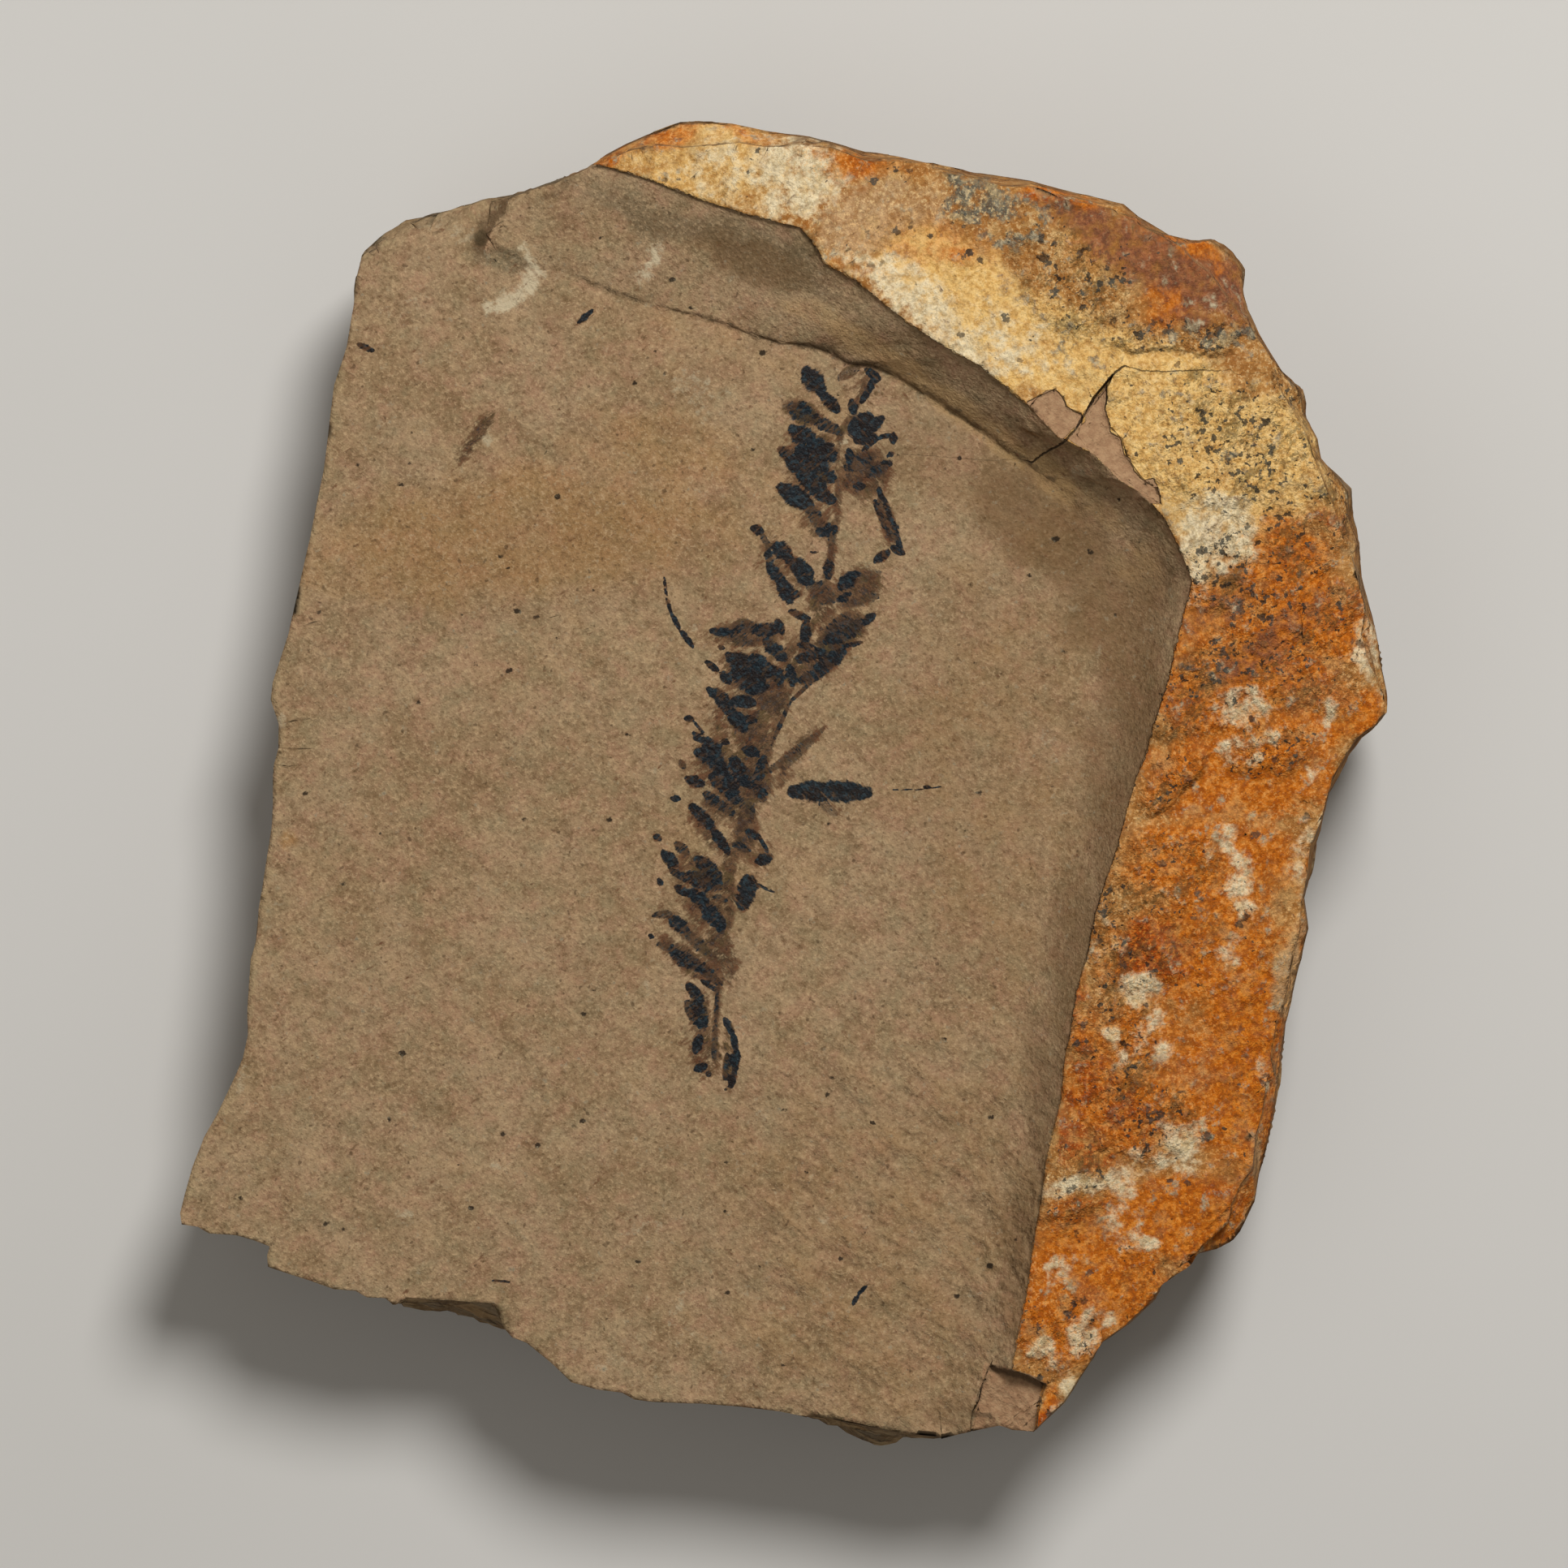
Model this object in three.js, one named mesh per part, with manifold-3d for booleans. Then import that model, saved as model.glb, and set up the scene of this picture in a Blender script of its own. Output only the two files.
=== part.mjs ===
// Fossil dawn redwood plate: one slab of tan shale that was split along its bedding. The split face
// carries the flattened twig, which is only colour. Along the top and the right the split curves up
// to a higher, weathered crust, and the broken sides show the beds as ledges. Millimetres, +Z up:
// the plate lies on its flat back, centred on the origin, with the top of the face towards +Y.
import * as THREE from 'three';
import { mergeVertices } from 'three/addons/utils/BufferGeometryUtils.js';
import { ImprovedNoise } from 'three/addons/math/ImprovedNoise.js';
import Module from 'manifold-3d';

const wasm = await Module();
wasm.setup();

// Driving dimensions, in millimetres.
const plateLength = 120; // along +Y, from the lowest to the highest point of the outline
const faceHeight = 17; // the split face above the back
const faceSwell = 0.22; // slow waves of the split face
const lipHeight = 0.35; // the crust's broken lip above the top of the riser
const crustFall = 0.075; // how much the crust drops for each millimetre outward
const crustLump = 0.42; // lumps of the weathered crust
const smoothCrust = 0.3; // how much of the lumps is left on the smooth facet at the upper left
const lumpyFrom = 14; // the place along X where the lumps have come to their full height
const edgeLumps = 0.25; // how much of the lumps is left at the crust's crisp edge
const lumpsGrowth = 4; // how far outward they would grow from nothing to their full height
const flakeDepth = 0.3; // the patches that have flaked off the crust
const crackDepth = 1.1; // the open part of the crack through the crust
const clearance = 30; // how far cutters reach past the stone
const crustSpacing = 2.6; // mesh spacing on the crust
const backSpacing = 8; // mesh spacing on the back
const meshTurn = 0.6; // how far those meshes are turned, in radians
const beddingWave = 0.5; // slow waves of the bedding planes in the broken sides
const blockSize = 1.4 * plateLength; // the meshed blocks reach past the whole plate
const breakReach = 14; // the size of the wedges that cut the flat breaks
const rimSmoothing = 4; // neighbours on each side that the smoothed outline is averaged over

// Noise, in layers: each one's wavelength in millimetres, its weight and its seed.
const faceNoise = [
  { wave: 34, weight: 1, seed: 5.1 },
  { wave: 11, weight: 0.4, seed: 3.9 },
];
const crustNoise = [
  { wave: 9, weight: 1, seed: 2.3 },
  { wave: 4.2, weight: 0.6, seed: 7.7 },
];
const bedNoise = [
  { wave: 13, weight: 0.9, seed: 1.7 },
  { wave: 4, weight: 0.8, seed: 1.7 },
];
const bedSeedStep = 2.9; // added to the seed from one bed to the next
const beddingNoise = [{ wave: 26, weight: 4, seed: 8.3 }];
const meshNoise = { wave: 1.7, weight: 0.8, seeds: [4.4, 9.6] }; // in mesh spacings

// The outlines are points on a drawing of the face, measured across to the right and down.
const drawing = { left: 220, right: 1713, top: 143, bottom: 1789 };
const millimetre = (drawing.bottom - drawing.top) / plateLength;
const drawingCentre = new THREE.Vector2(
  (drawing.left + drawing.right) / 2,
  (drawing.top + drawing.bottom) / 2,
);

// The plate seen from above, clockwise from the upper left corner.
const outline = [
  [435, 297], [455, 284], [497, 265], [538, 254], [593, 240], [631, 234], [662, 224], [700, 210],
  [722, 203], [745, 187], [770, 173], [795, 162], [837, 143], [868, 143], [900, 147], [950, 157],
  [1000, 165], [1022, 171], [1060, 183], [1100, 189], [1150, 199], [1200, 210], [1235, 214],
  [1270, 220], [1326, 235], [1387, 249], [1405, 265], [1443, 289], [1471, 293], [1499, 290],
  [1522, 307], [1536, 328], [1534, 354], [1538, 377], [1557, 419], [1583, 457], [1608, 478],
  [1613, 513], [1627, 541], [1630, 564], [1648, 580], [1667, 601], [1669, 634], [1679, 667],
  [1680, 709], [1693, 761], [1705, 799], [1709, 830], [1713, 861], [1711, 878], [1697, 895],
  [1680, 909], [1665, 930], [1651, 960], [1640, 975], [1634, 1002], [1625, 1044], [1618, 1075],
  [1610, 1106], [1616, 1144], [1607, 1182], [1596, 1224], [1588, 1262], [1584, 1300],
  [1580, 1338], [1574, 1376], [1565, 1415], [1555, 1449], [1552, 1487], [1540, 1514],
  [1527, 1535], [1502, 1542], [1477, 1547], [1471, 1558], [1433, 1583], [1427, 1602],
  [1395, 1633], [1354, 1660], [1349, 1675], [1331, 1702], [1314, 1732], [1295, 1751],
  [1276, 1769], [1253, 1766], [1233, 1758], [1186, 1768], [1150, 1777], [1117, 1778],
  [1106, 1786], [1087, 1789], [1056, 1779], [1020, 1754], [962, 1741], [912, 1735], [864, 1731],
  [804, 1729], [781, 1726], [766, 1718], [735, 1714], [703, 1705], [681, 1683], [648, 1656],
  [616, 1644], [579, 1631], [547, 1621], [510, 1620], [492, 1617], [474, 1601], [451, 1600],
  [437, 1592], [410, 1590], [382, 1580], [364, 1574], [329, 1562], [328, 1548], [331, 1537],
  [313, 1530], [290, 1523], [256, 1521], [242, 1513], [222, 1510], [220, 1496], [228, 1465],
  [235, 1440], [249, 1402], [264, 1375], [279, 1345], [290, 1322], [298, 1303], [304, 1275],
  [303, 1249], [305, 1215], [307, 1182], [314, 1160], [317, 1120], [323, 1085], [327, 1057],
  [333, 1020], [335, 990], [335, 960], [336, 943], [342, 922], [342, 892], [332, 862],
  [334, 841], [344, 810], [354, 780], [372, 700], [380, 665], [389, 620], [398, 573],
  [405, 513], [410, 472], [420, 444], [426, 425], [430, 398], [432, 375], [429, 335],
];

// Where the split meets the crust in a crisp edge, from past the upper left to past the bottom.
const crustEdge = [
  [700, 180], [735, 203], [746, 205], [774, 213], [802, 222], [835, 235], [868, 248], [896, 257],
  [924, 266], [955, 274], [986, 281], [1001, 299], [1016, 325], [1034, 336], [1052, 345],
  [1080, 368], [1108, 391], [1134, 409], [1159, 426], [1180, 437], [1205, 451], [1232, 472],
  [1266, 500], [1280, 516], [1302, 539], [1325, 550], [1343, 558], [1364, 577], [1377, 592],
  [1402, 606], [1415, 619], [1431, 636], [1444, 659], [1457, 688], [1468, 716], [1462, 740],
  [1454, 770], [1447, 800], [1441, 830], [1433, 857], [1420, 895], [1412, 926], [1399, 960],
  [1387, 1002], [1376, 1044], [1364, 1079], [1349, 1125], [1338, 1182], [1326, 1220],
  [1317, 1280], [1312, 1300], [1307, 1353], [1297, 1395], [1288, 1430], [1282, 1480],
  [1272, 1537], [1265, 1594], [1255, 1640], [1249, 1675], [1240, 1730], [1226, 1830],
];

// The foot of the riser. Its first half is the thin ledge that a higher bed ends in.
const riserFoot = [
  [636, 218], [631, 240], [627, 263], [598, 286], [606, 304], [628, 314], [652, 318], [694, 334],
  [723, 342], [751, 357], [790, 368], [828, 380], [860, 386], [909, 402], [941, 415], [976, 423],
  [1002, 423], [1027, 432], [1052, 448], [1081, 448], [1100, 457], [1129, 476], [1157, 492],
  [1180, 509], [1195, 516], [1228, 542], [1257, 563], [1287, 585], [1318, 605], [1345, 640],
  [1365, 680], [1372, 730], [1365, 780], [1345, 860], [1310, 980], [1275, 1080], [1250, 1150],
  [1228, 1260], [1210, 1400], [1190, 1540], [1170, 1640], [1160, 1700], [1150, 1830],
];

// The far side of the split face, past the left edge of the plate.
const farSide = [[380, 276], [310, 600], [270, 900], [190, 1300], [150, 1710]];

// Along the crust's edge: how high the riser climbs, how high the ledge at its foot is, and how
// hollow the riser is, 1 being a straight slope.
const riserStations = [
  { at: [735, 203], climb: 1.6, ledge: 0.35, hollow: 1.5 },
  { at: [868, 248], climb: 2.5, ledge: 0.15, hollow: 1.9 },
  { at: [986, 281], climb: 3.7, ledge: 0.15, hollow: 1.7 },
  { at: [1108, 391], climb: 4.8, ledge: 0.35, hollow: 1.3 },
  { at: [1266, 500], climb: 5.2, ledge: 0.5, hollow: 1.2 },
  { at: [1343, 558], climb: 5.2, ledge: 0.35, hollow: 1.3 },
  { at: [1402, 606], climb: 5.1, ledge: 0, hollow: 1.5 },
  { at: [1468, 716], climb: 4.8, ledge: 0, hollow: 1.9 },
  { at: [1376, 1044], climb: 4.4, ledge: 0, hollow: 2.1 },
  { at: [1307, 1353], climb: 3.9, ledge: 0, hollow: 2.1 },
  { at: [1249, 1675], climb: 3.2, ledge: 0, hollow: 1.9 },
];

// Rows of the split surface: shares of the way up the riser, and shares of the way over the face.
const riserRows = [1, 0.86, 0.7, 0.52, 0.34, 0.17, 0];
const ledgeSlope = 0.3; // the ledge's steep front, in plan
const faceRows = [0.05, 0.11, 0.18, 0.27, 0.38, 0.5, 0.63, 0.76, 0.88, 1];

// The beds in the broken sides, from under the back to over the top: each ring's share of the local
// height, and how far it stands back from the outline on the left, bottom, right and top side.
const sideRings = [
  { share: -0.12, left: 3.3, bottom: 2.4, right: 3.6, top: 2.8 },
  { share: 0.12, left: 2.7, bottom: 1.9, right: 3.1, top: 2.3 },
  { share: 0.15, left: 1.3, bottom: 1.1, right: 1.5, top: 1.2 },
  { share: 0.32, left: 0.9, bottom: 0.9, right: 1.0, top: 0.9 },
  { share: 0.35, left: 1.9, bottom: 1.6, right: 0.6, top: 0.7 },
  { share: 0.46, left: 1.6, bottom: 1.5, right: 0.4, top: 0.4 },
  { share: 0.49, left: 0.9, bottom: 0.9, right: 0, top: 0 },
  { share: 0.7, left: 0.6, bottom: 0.7, right: 0, top: 0 },
  { share: 0.73, left: 1.1, bottom: 1.3, right: 0.5, top: 0.4 },
  { share: 0.86, left: 0.7, bottom: 1.0, right: 0.3, top: 0.3 },
  { share: 0.89, left: 0.2, bottom: 0.1, right: 0.2, top: 0.1 },
  { share: 1, left: 0, bottom: 0, right: 1.1, top: 0.9 },
  { share: 1.6, left: 0, bottom: 0, right: 1.5, top: 1.2 },
];

// Flat breaks along the edges, with the height of each end. Each falls away to the left of the way
// from one end to the other.
const flatBreaks = [
  { from: [402, 322], to: [530, 281], heights: [17.1, 17.1], fall: 34 },
  { from: [496, 285], to: [598, 296], heights: [17.1, 17.5], fall: 24 },
  { from: [604, 284], to: [748, 208], heights: [17.8, 19.5], fall: 34 },
  { from: [1262, 232], to: [1392, 268], heights: [20.6, 20.1], fall: 38 },
  { from: [1380, 256], to: [1446, 302], heights: [20.3, 20.2], fall: 46 },
  { from: [1686, 770], to: [1698, 880], heights: [19.8, 19.6], fall: 50 },
  { from: [1603, 1105], to: [1564, 1340], heights: [19.7, 19.3], fall: 44 },
  { from: [1540, 1472], to: [1458, 1548], heights: [19.2, 18.9], fall: 40 },
  { from: [1362, 1640], to: [1286, 1758], heights: [18.9, 18.6], fall: 42 },
];

// Patches where the crust has flaked off beside the split, and the open part of the crack.
const flakes = [
  [
    [1264, 506], [1281, 489], [1299, 481], [1310, 491], [1314, 504], [1331, 510],
    [1333, 520], [1322, 531], [1308, 552],
  ],
  [
    [1337, 510], [1364, 476], [1360, 504], [1366, 527], [1381, 542], [1387, 565],
    [1408, 592], [1425, 602], [1430, 622], [1410, 620], [1364, 582], [1345, 562], [1327, 537],
  ],
];
const crack = [[1334, 514], [1346, 491], [1359, 475], [1373, 459], [1366, 476], [1351, 495]];

// Hollows broken out of the lower edge, each corner with the height of the floor there: the chip at
// the lower right, and two steep breaks in the upper beds.
const hollows = [
  [
    [1220, 1684, 18.2], [1246, 1689, 18.5], [1268, 1695, 18.8], [1288, 1706, 19.1],
    [1283, 1722, 19], [1279, 1741, 18.8], [1273, 1800, 18], [1192, 1800, 16.9],
    [1199, 1740, 17.5], [1206, 1729, 17.7], [1212, 1703, 18],
  ],
  [
    [478, 1612, 16.8], [501, 1600, 16.6], [538, 1603, 16.4], [584, 1606, 16.3],
    [607, 1607, 16.3], [614, 1617, 16.4], [618, 1633, 16.5], [634, 1654, 16.8],
    [640, 1700, 4], [590, 1690, 1], [530, 1670, 1], [470, 1650, 4],
  ],
  [
    [994, 1746, 16.9], [1016, 1748, 16.7], [1052, 1754, 16.5], [1085, 1762, 16.5],
    [1114, 1768, 16.6], [1160, 1772, 16.9], [1165, 1830, 2], [1100, 1845, -1],
    [1040, 1830, 0], [994, 1800, 3],
  ],
];

// Places where a lower bed stands out from under the broken bottom edge, and its share of the height.
const standingBeds = [
  { at: [1083, 1780], reach: 7 },
  { at: [560, 1622], reach: 9 },
];
const standingShares = { from: 0.3, to: 0.6 };

// Thin beds that have dropped off the back at its margin.
const backSpalls = [
  {
    roof: 1.3,
    points: [
      [1150, 1850], [1165, 1690], [1215, 1640], [1290, 1560], [1345, 1500], [1440, 1380],
      [1470, 1290], [1560, 1200], [1720, 1190], [1650, 1700],
    ],
  },
  {
    roof: 0.9,
    points: [
      [330, 240], [640, 180], [650, 330], [600, 380], [560, 470], [500, 520], [480, 640],
      [430, 690], [330, 720],
    ],
  },
];

const noiseField = new ImprovedNoise();

function wander(point, wavelength, seed) {
  return noiseField.noise(point.x / wavelength, point.y / wavelength, seed);
}

function layered(point, layers, seedShift = 0) {
  const parts = layers.map(({ wave, weight, seed }) => (
    weight * wander(point, wave, seed + seedShift)
  ));
  return parts.reduce((sum, part) => sum + part, 0);
}

function spot([across, down]) {
  return new THREE.Vector2(
    (across - drawingCentre.x) / millimetre,
    (drawingCentre.y - down) / millimetre,
  );
}

// Points along a line, with each one's share of the line's length.
function measured(points) {
  const places = points.map(spot);
  const lengths = [0];
  for (let i = 1; i < places.length; i += 1) {
    lengths.push(lengths[i - 1] + places[i].distanceTo(places[i - 1]));
  }
  const total = lengths[lengths.length - 1];
  return { places, shares: lengths.map((length) => length / total) };
}

function alongLine(line, share) {
  let i = 1;
  while (i < line.shares.length - 1 && line.shares[i] < share) {
    i += 1;
  }
  const part = (share - line.shares[i - 1]) / (line.shares[i] - line.shares[i - 1]);
  return line.places[i - 1].clone().lerp(line.places[i], part);
}

// The point of a line nearest to a place: its distance, its share of the length, and its side.
function nearestOn(line, place) {
  let nearest = { distance: Infinity };
  for (let i = 1; i < line.places.length; i += 1) {
    const start = line.places[i - 1];
    const way = line.places[i].clone().sub(start);
    const out = place.clone().sub(start);
    const part = THREE.MathUtils.clamp(out.dot(way) / way.lengthSq(), 0, 1);
    const distance = out.distanceTo(way.clone().multiplyScalar(part));
    if (distance < nearest.distance) {
      const share = THREE.MathUtils.lerp(line.shares[i - 1], line.shares[i], part);
      nearest = { distance, share, outside: way.cross(out) > 0 };
    }
  }
  return nearest;
}

const edgeLine = measured(crustEdge);
const footLine = measured(riserFoot);
const farLine = measured(farSide);
const stations = riserStations.map((station) => ({
  ...station,
  share: nearestOn(edgeLine, spot(station.at)).share,
}));

function riserAt(share, measure) {
  let i = 1;
  while (i < stations.length - 1 && stations[i].share < share) {
    i += 1;
  }
  const [before, after] = [stations[i - 1], stations[i]];
  const part = THREE.MathUtils.clamp((share - before.share) / (after.share - before.share), 0, 1);
  return THREE.MathUtils.lerp(before[measure], after[measure], part);
}

// Height of the weathered crust, which falls gently from the split's edge to the rim.
function crustAt(place) {
  const { distance, share, outside } = nearestOn(edgeLine, place);
  const reach = outside ? distance : 0;
  const lumpy = THREE.MathUtils.smoothstep(place.x, 0, lumpyFrom);
  const roughness = smoothCrust + (1 - smoothCrust) * lumpy;
  const settled = Math.min(1, edgeLumps + reach / lumpsGrowth) * roughness;
  const climb = riserAt(share, 'climb') + lipHeight - crustFall * reach;
  return faceHeight + climb + crustLump * layered(place, crustNoise) * settled;
}

// Height of the split face: nearly flat, with slow waves.
function faceAt(place) {
  return faceHeight + faceSwell * layered(place, faceNoise);
}

function toSolid(geometry) {
  geometry.deleteAttribute('normal');
  geometry.deleteAttribute('uv');
  const merged = mergeVertices(geometry);
  return new wasm.Manifold(new wasm.Mesh({
    numProp: 3,
    vertProperties: Float32Array.from(merged.attributes.position.array),
    triVerts: Uint32Array.from(merged.index.array),
  }));
}

// Moves every vertex of a geometry to the place that the given function works out for it.
function reshape(geometry, move) {
  const positions = geometry.attributes.position;
  const vertex = new THREE.Vector3();
  for (let i = 0; i < positions.count; i += 1) {
    vertex.fromBufferAttribute(positions, i);
    const moved = move(vertex);
    positions.setXYZ(i, moved.x, moved.y, moved.z);
  }
  return geometry;
}

// The broken sides: a drum whose rings follow the outline, each bed standing back by its own amount.
function brokenSides() {
  const rim = outline.map(spot).reverse();
  const count = rim.length;
  const around = (i) => rim[(i + count) % count];
  const smooth = rim.map((_, i) => {
    const sum = new THREE.Vector2();
    for (let k = -rimSmoothing; k <= rimSmoothing; k += 1) {
      sum.add(around(i + k));
    }
    return sum.divideScalar(2 * rimSmoothing + 1);
  });
  const inward = smooth.map((_, i) => {
    const way = smooth[(i + 1) % count].clone().sub(smooth[(i - 1 + count) % count]).normalize();
    return new THREE.Vector2(-way.y, way.x);
  });
  const heights = rim.map((place) => (
    nearestOn(edgeLine, place).outside ? crustAt(place) : faceHeight
  ));

  const standing = rim.map((place) => standingBeds.reduce((least, { at, reach }) => {
    const far = THREE.MathUtils.smoothstep(place.distanceTo(spot(at)), reach / 2, reach);
    return Math.min(least, far);
  }, 1));

  const setBack = (ring, i, bed) => {
    const [x, y] = inward[i].toArray();
    const wanted = ring.left * Math.max(0, x) ** 2 + ring.right * Math.max(0, -x) ** 2
      + ring.bottom * Math.max(0, y) ** 2 + ring.top * Math.max(0, -y) ** 2;
    const rough = 1 + layered(smooth[i], bedNoise, bed * bedSeedStep);
    const stands = ring.share > standingShares.from && ring.share < standingShares.to;
    const held = stands ? standing[i] : 1;
    return wanted * rough * held;
  };

  const drum = new THREE.CylinderGeometry(1, 1, 1, count, sideRings.length - 1);
  return toSolid(reshape(drum, (vertex) => {
    const level = Math.round((vertex.y + 0.5) * (sideRings.length - 1));
    const ring = sideRings[level];
    if (Math.hypot(vertex.x, vertex.z) < 0.5) {
      return new THREE.Vector3(0, 0, ring.share * faceHeight);
    }
    const turn = Math.atan2(vertex.x, vertex.z) / (2 * Math.PI);
    const i = Math.round((turn + 1) * count) % count;
    const back = setBack(ring, i, Math.floor(level / 2));
    const place = rim[i].clone().lerp(smooth[i], Math.min(1, back));
    place.addScaledVector(inward[i], back);
    const waves = beddingWave * layered(rim[i], beddingNoise) * ring.share * (1 - ring.share);
    return new THREE.Vector3(place.x, place.y, ring.share * heights[i] + waves);
  }));
}

// A block over the whole plate, meshed at the given spacing, from its floor to its ceiling. The mesh
// is turned and uneven, so that its lines don't show in the broken surface.
function meshedBlock(spacing, floorAt, ceilingAt) {
  const cells = Math.round(blockSize / spacing);
  const block = new THREE.BoxGeometry(blockSize, blockSize, 1, cells, cells, 1);
  return toSolid(reshape(block, (vertex) => {
    const place = new THREE.Vector2(vertex.x, vertex.y);
    const [shiftX, shiftY] = meshNoise.seeds.map((seed) => (
      meshNoise.weight * spacing * wander(vertex, meshNoise.wave * spacing, seed)
    ));
    place.x += shiftX;
    place.y += shiftY;
    place.rotateAround(new THREE.Vector2(), meshTurn);
    const height = vertex.z < 0 ? floorAt(place) : ceilingAt(place);
    return new THREE.Vector3(place.x, place.y, height);
  }));
}

// What the split took away: a block whose under side is the riser, the ledge and the split face.
function splitAway() {
  const columns = edgeLine.places.length - 1;
  const rowCount = riserRows.length + faceRows.length;
  const block = new THREE.BoxGeometry(1, 1, 1, columns, rowCount, 1);

  const surfaceAt = (column, row) => {
    const share = edgeLine.shares[column];
    const edge = edgeLine.places[column];
    const foot = alongLine(footLine, share);
    const far = alongLine(farLine, share);
    const ledge = riserAt(share, 'ledge');
    if (row < riserRows.length) {
      const climbed = riserRows[row];
      const place = foot.lerp(edge, climbed);
      const above = ledge + (riserAt(share, 'climb') - ledge) * climbed ** riserAt(share, 'hollow');
      return { place, height: faceAt(place) + above };
    }
    const ledgeFront = foot.clone().addScaledVector(far.clone().sub(foot).normalize(), ledgeSlope);
    const crossed = row === riserRows.length ? 0 : faceRows[row - riserRows.length - 1];
    const place = ledgeFront.lerp(far, crossed);
    return { place, height: faceAt(place) };
  };

  return toSolid(reshape(block, (vertex) => {
    const column = Math.round((vertex.x + 0.5) * columns);
    const row = Math.round((0.5 - vertex.y) * rowCount);
    const { place, height } = surfaceAt(column, row);
    const raised = vertex.z > 0 ? faceHeight + clearance : height;
    return new THREE.Vector3(place.x, place.y, raised);
  }));
}

function flatBreak({ from, to, heights, fall }) {
  const [start, end] = [spot(from), spot(to)];
  const length = start.distanceTo(end);
  const box = new THREE.BoxGeometry(length, breakReach, breakReach);
  box.translate(0, breakReach / 2, breakReach / 2);
  box.rotateX(THREE.MathUtils.degToRad(-fall));
  box.rotateY(-Math.atan2(heights[1] - heights[0], length));
  box.rotateZ(end.clone().sub(start).angle());
  const middle = start.lerp(end, 0.5);
  box.translate(middle.x, middle.y, (heights[0] + heights[1]) / 2);
  return toSolid(box);
}

// A cutter with the given outline, between a floor and a ceiling.
function cutter(points, floorAt, ceilingAt) {
  const shape = new THREE.Shape(points.map(spot));
  const prism = new THREE.ExtrudeGeometry(shape, { depth: 1, bevelEnabled: false });
  return toSolid(reshape(prism, (vertex) => {
    const place = new THREE.Vector2(vertex.x, vertex.y);
    const height = vertex.z < 0.5 ? floorAt(place) : ceilingAt(place);
    return new THREE.Vector3(place.x, place.y, height);
  }));
}

// The floor of a hollow, which has its height at each of the hollow's corners.
function hollowFloor(corners) {
  const places = corners.map(spot);
  return (place) => {
    const distances = places.map((corner) => corner.distanceTo(place));
    return corners[distances.indexOf(Math.min(...distances))][2];
  };
}

function plateSolid() {
  const above = () => faceHeight + clearance;
  const below = () => -clearance;
  let stone = brokenSides()
    .intersect(meshedBlock(crustSpacing, below, crustAt))
    .intersect(meshedBlock(backSpacing, () => 0, above))
    .subtract(splitAway())
    .subtract(cutter(crack, (place) => crustAt(place) - crackDepth, above));
  for (const one of flatBreaks) {
    stone = stone.subtract(flatBreak(one));
  }
  for (const points of flakes) {
    stone = stone.subtract(cutter(points, (place) => crustAt(place) - flakeDepth, above));
  }
  for (const corners of hollows) {
    stone = stone.subtract(cutter(corners, hollowFloor(corners), above));
  }
  for (const { points, roof } of backSpalls) {
    stone = stone.subtract(cutter(points, below, () => roof));
  }
  return stone;
}

function toGeometry(solid) {
  const { vertProperties, triVerts } = solid.getMesh();
  const geometry = new THREE.BufferGeometry();
  geometry.setAttribute('position', new THREE.BufferAttribute(vertProperties, 3));
  geometry.setIndex(new THREE.BufferAttribute(triVerts, 1));
  geometry.computeVertexNormals();
  return geometry;
}

const shale = new THREE.MeshStandardMaterial({ color: 0x8f7658, roughness: 0.95, metalness: 0 });
const plate = new THREE.Mesh(toGeometry(plateSolid()), shale);
plate.name = 'plate';

const fossil = new THREE.Group();
fossil.add(plate);

export default fossil;
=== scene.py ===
"""Looks of the fossil dawn redwood plate: one slab of shale with a split face, a weathered crust and
broken beds round its sides. The fossil is a film of char and iron stain, painted on the stone.
Places on the stone are read off a drawing of it, in drawing units across to the right and down."""

import math
from functools import reduce

import bmesh
import bpy
import numpy as np
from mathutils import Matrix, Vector, noise


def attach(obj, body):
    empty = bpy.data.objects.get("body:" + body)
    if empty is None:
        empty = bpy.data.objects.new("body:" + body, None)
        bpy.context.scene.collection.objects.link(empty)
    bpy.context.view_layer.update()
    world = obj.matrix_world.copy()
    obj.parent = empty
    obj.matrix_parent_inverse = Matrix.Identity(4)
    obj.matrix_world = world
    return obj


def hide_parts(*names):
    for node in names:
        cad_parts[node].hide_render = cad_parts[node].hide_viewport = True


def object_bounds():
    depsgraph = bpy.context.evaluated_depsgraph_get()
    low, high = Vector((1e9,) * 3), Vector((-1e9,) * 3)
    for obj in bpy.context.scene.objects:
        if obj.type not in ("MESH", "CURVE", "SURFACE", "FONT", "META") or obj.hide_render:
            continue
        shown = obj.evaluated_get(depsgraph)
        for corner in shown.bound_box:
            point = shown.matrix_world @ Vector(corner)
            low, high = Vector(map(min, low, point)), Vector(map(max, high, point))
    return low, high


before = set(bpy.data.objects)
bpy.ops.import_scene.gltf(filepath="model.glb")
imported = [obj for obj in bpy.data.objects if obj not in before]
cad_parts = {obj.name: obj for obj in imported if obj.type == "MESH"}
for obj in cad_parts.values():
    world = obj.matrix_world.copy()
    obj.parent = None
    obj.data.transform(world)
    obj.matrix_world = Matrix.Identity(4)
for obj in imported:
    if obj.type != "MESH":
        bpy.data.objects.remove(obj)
CAD_LOW, CAD_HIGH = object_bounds()

# ---- the drawing ---------------------------------------------------------------------------------

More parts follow.
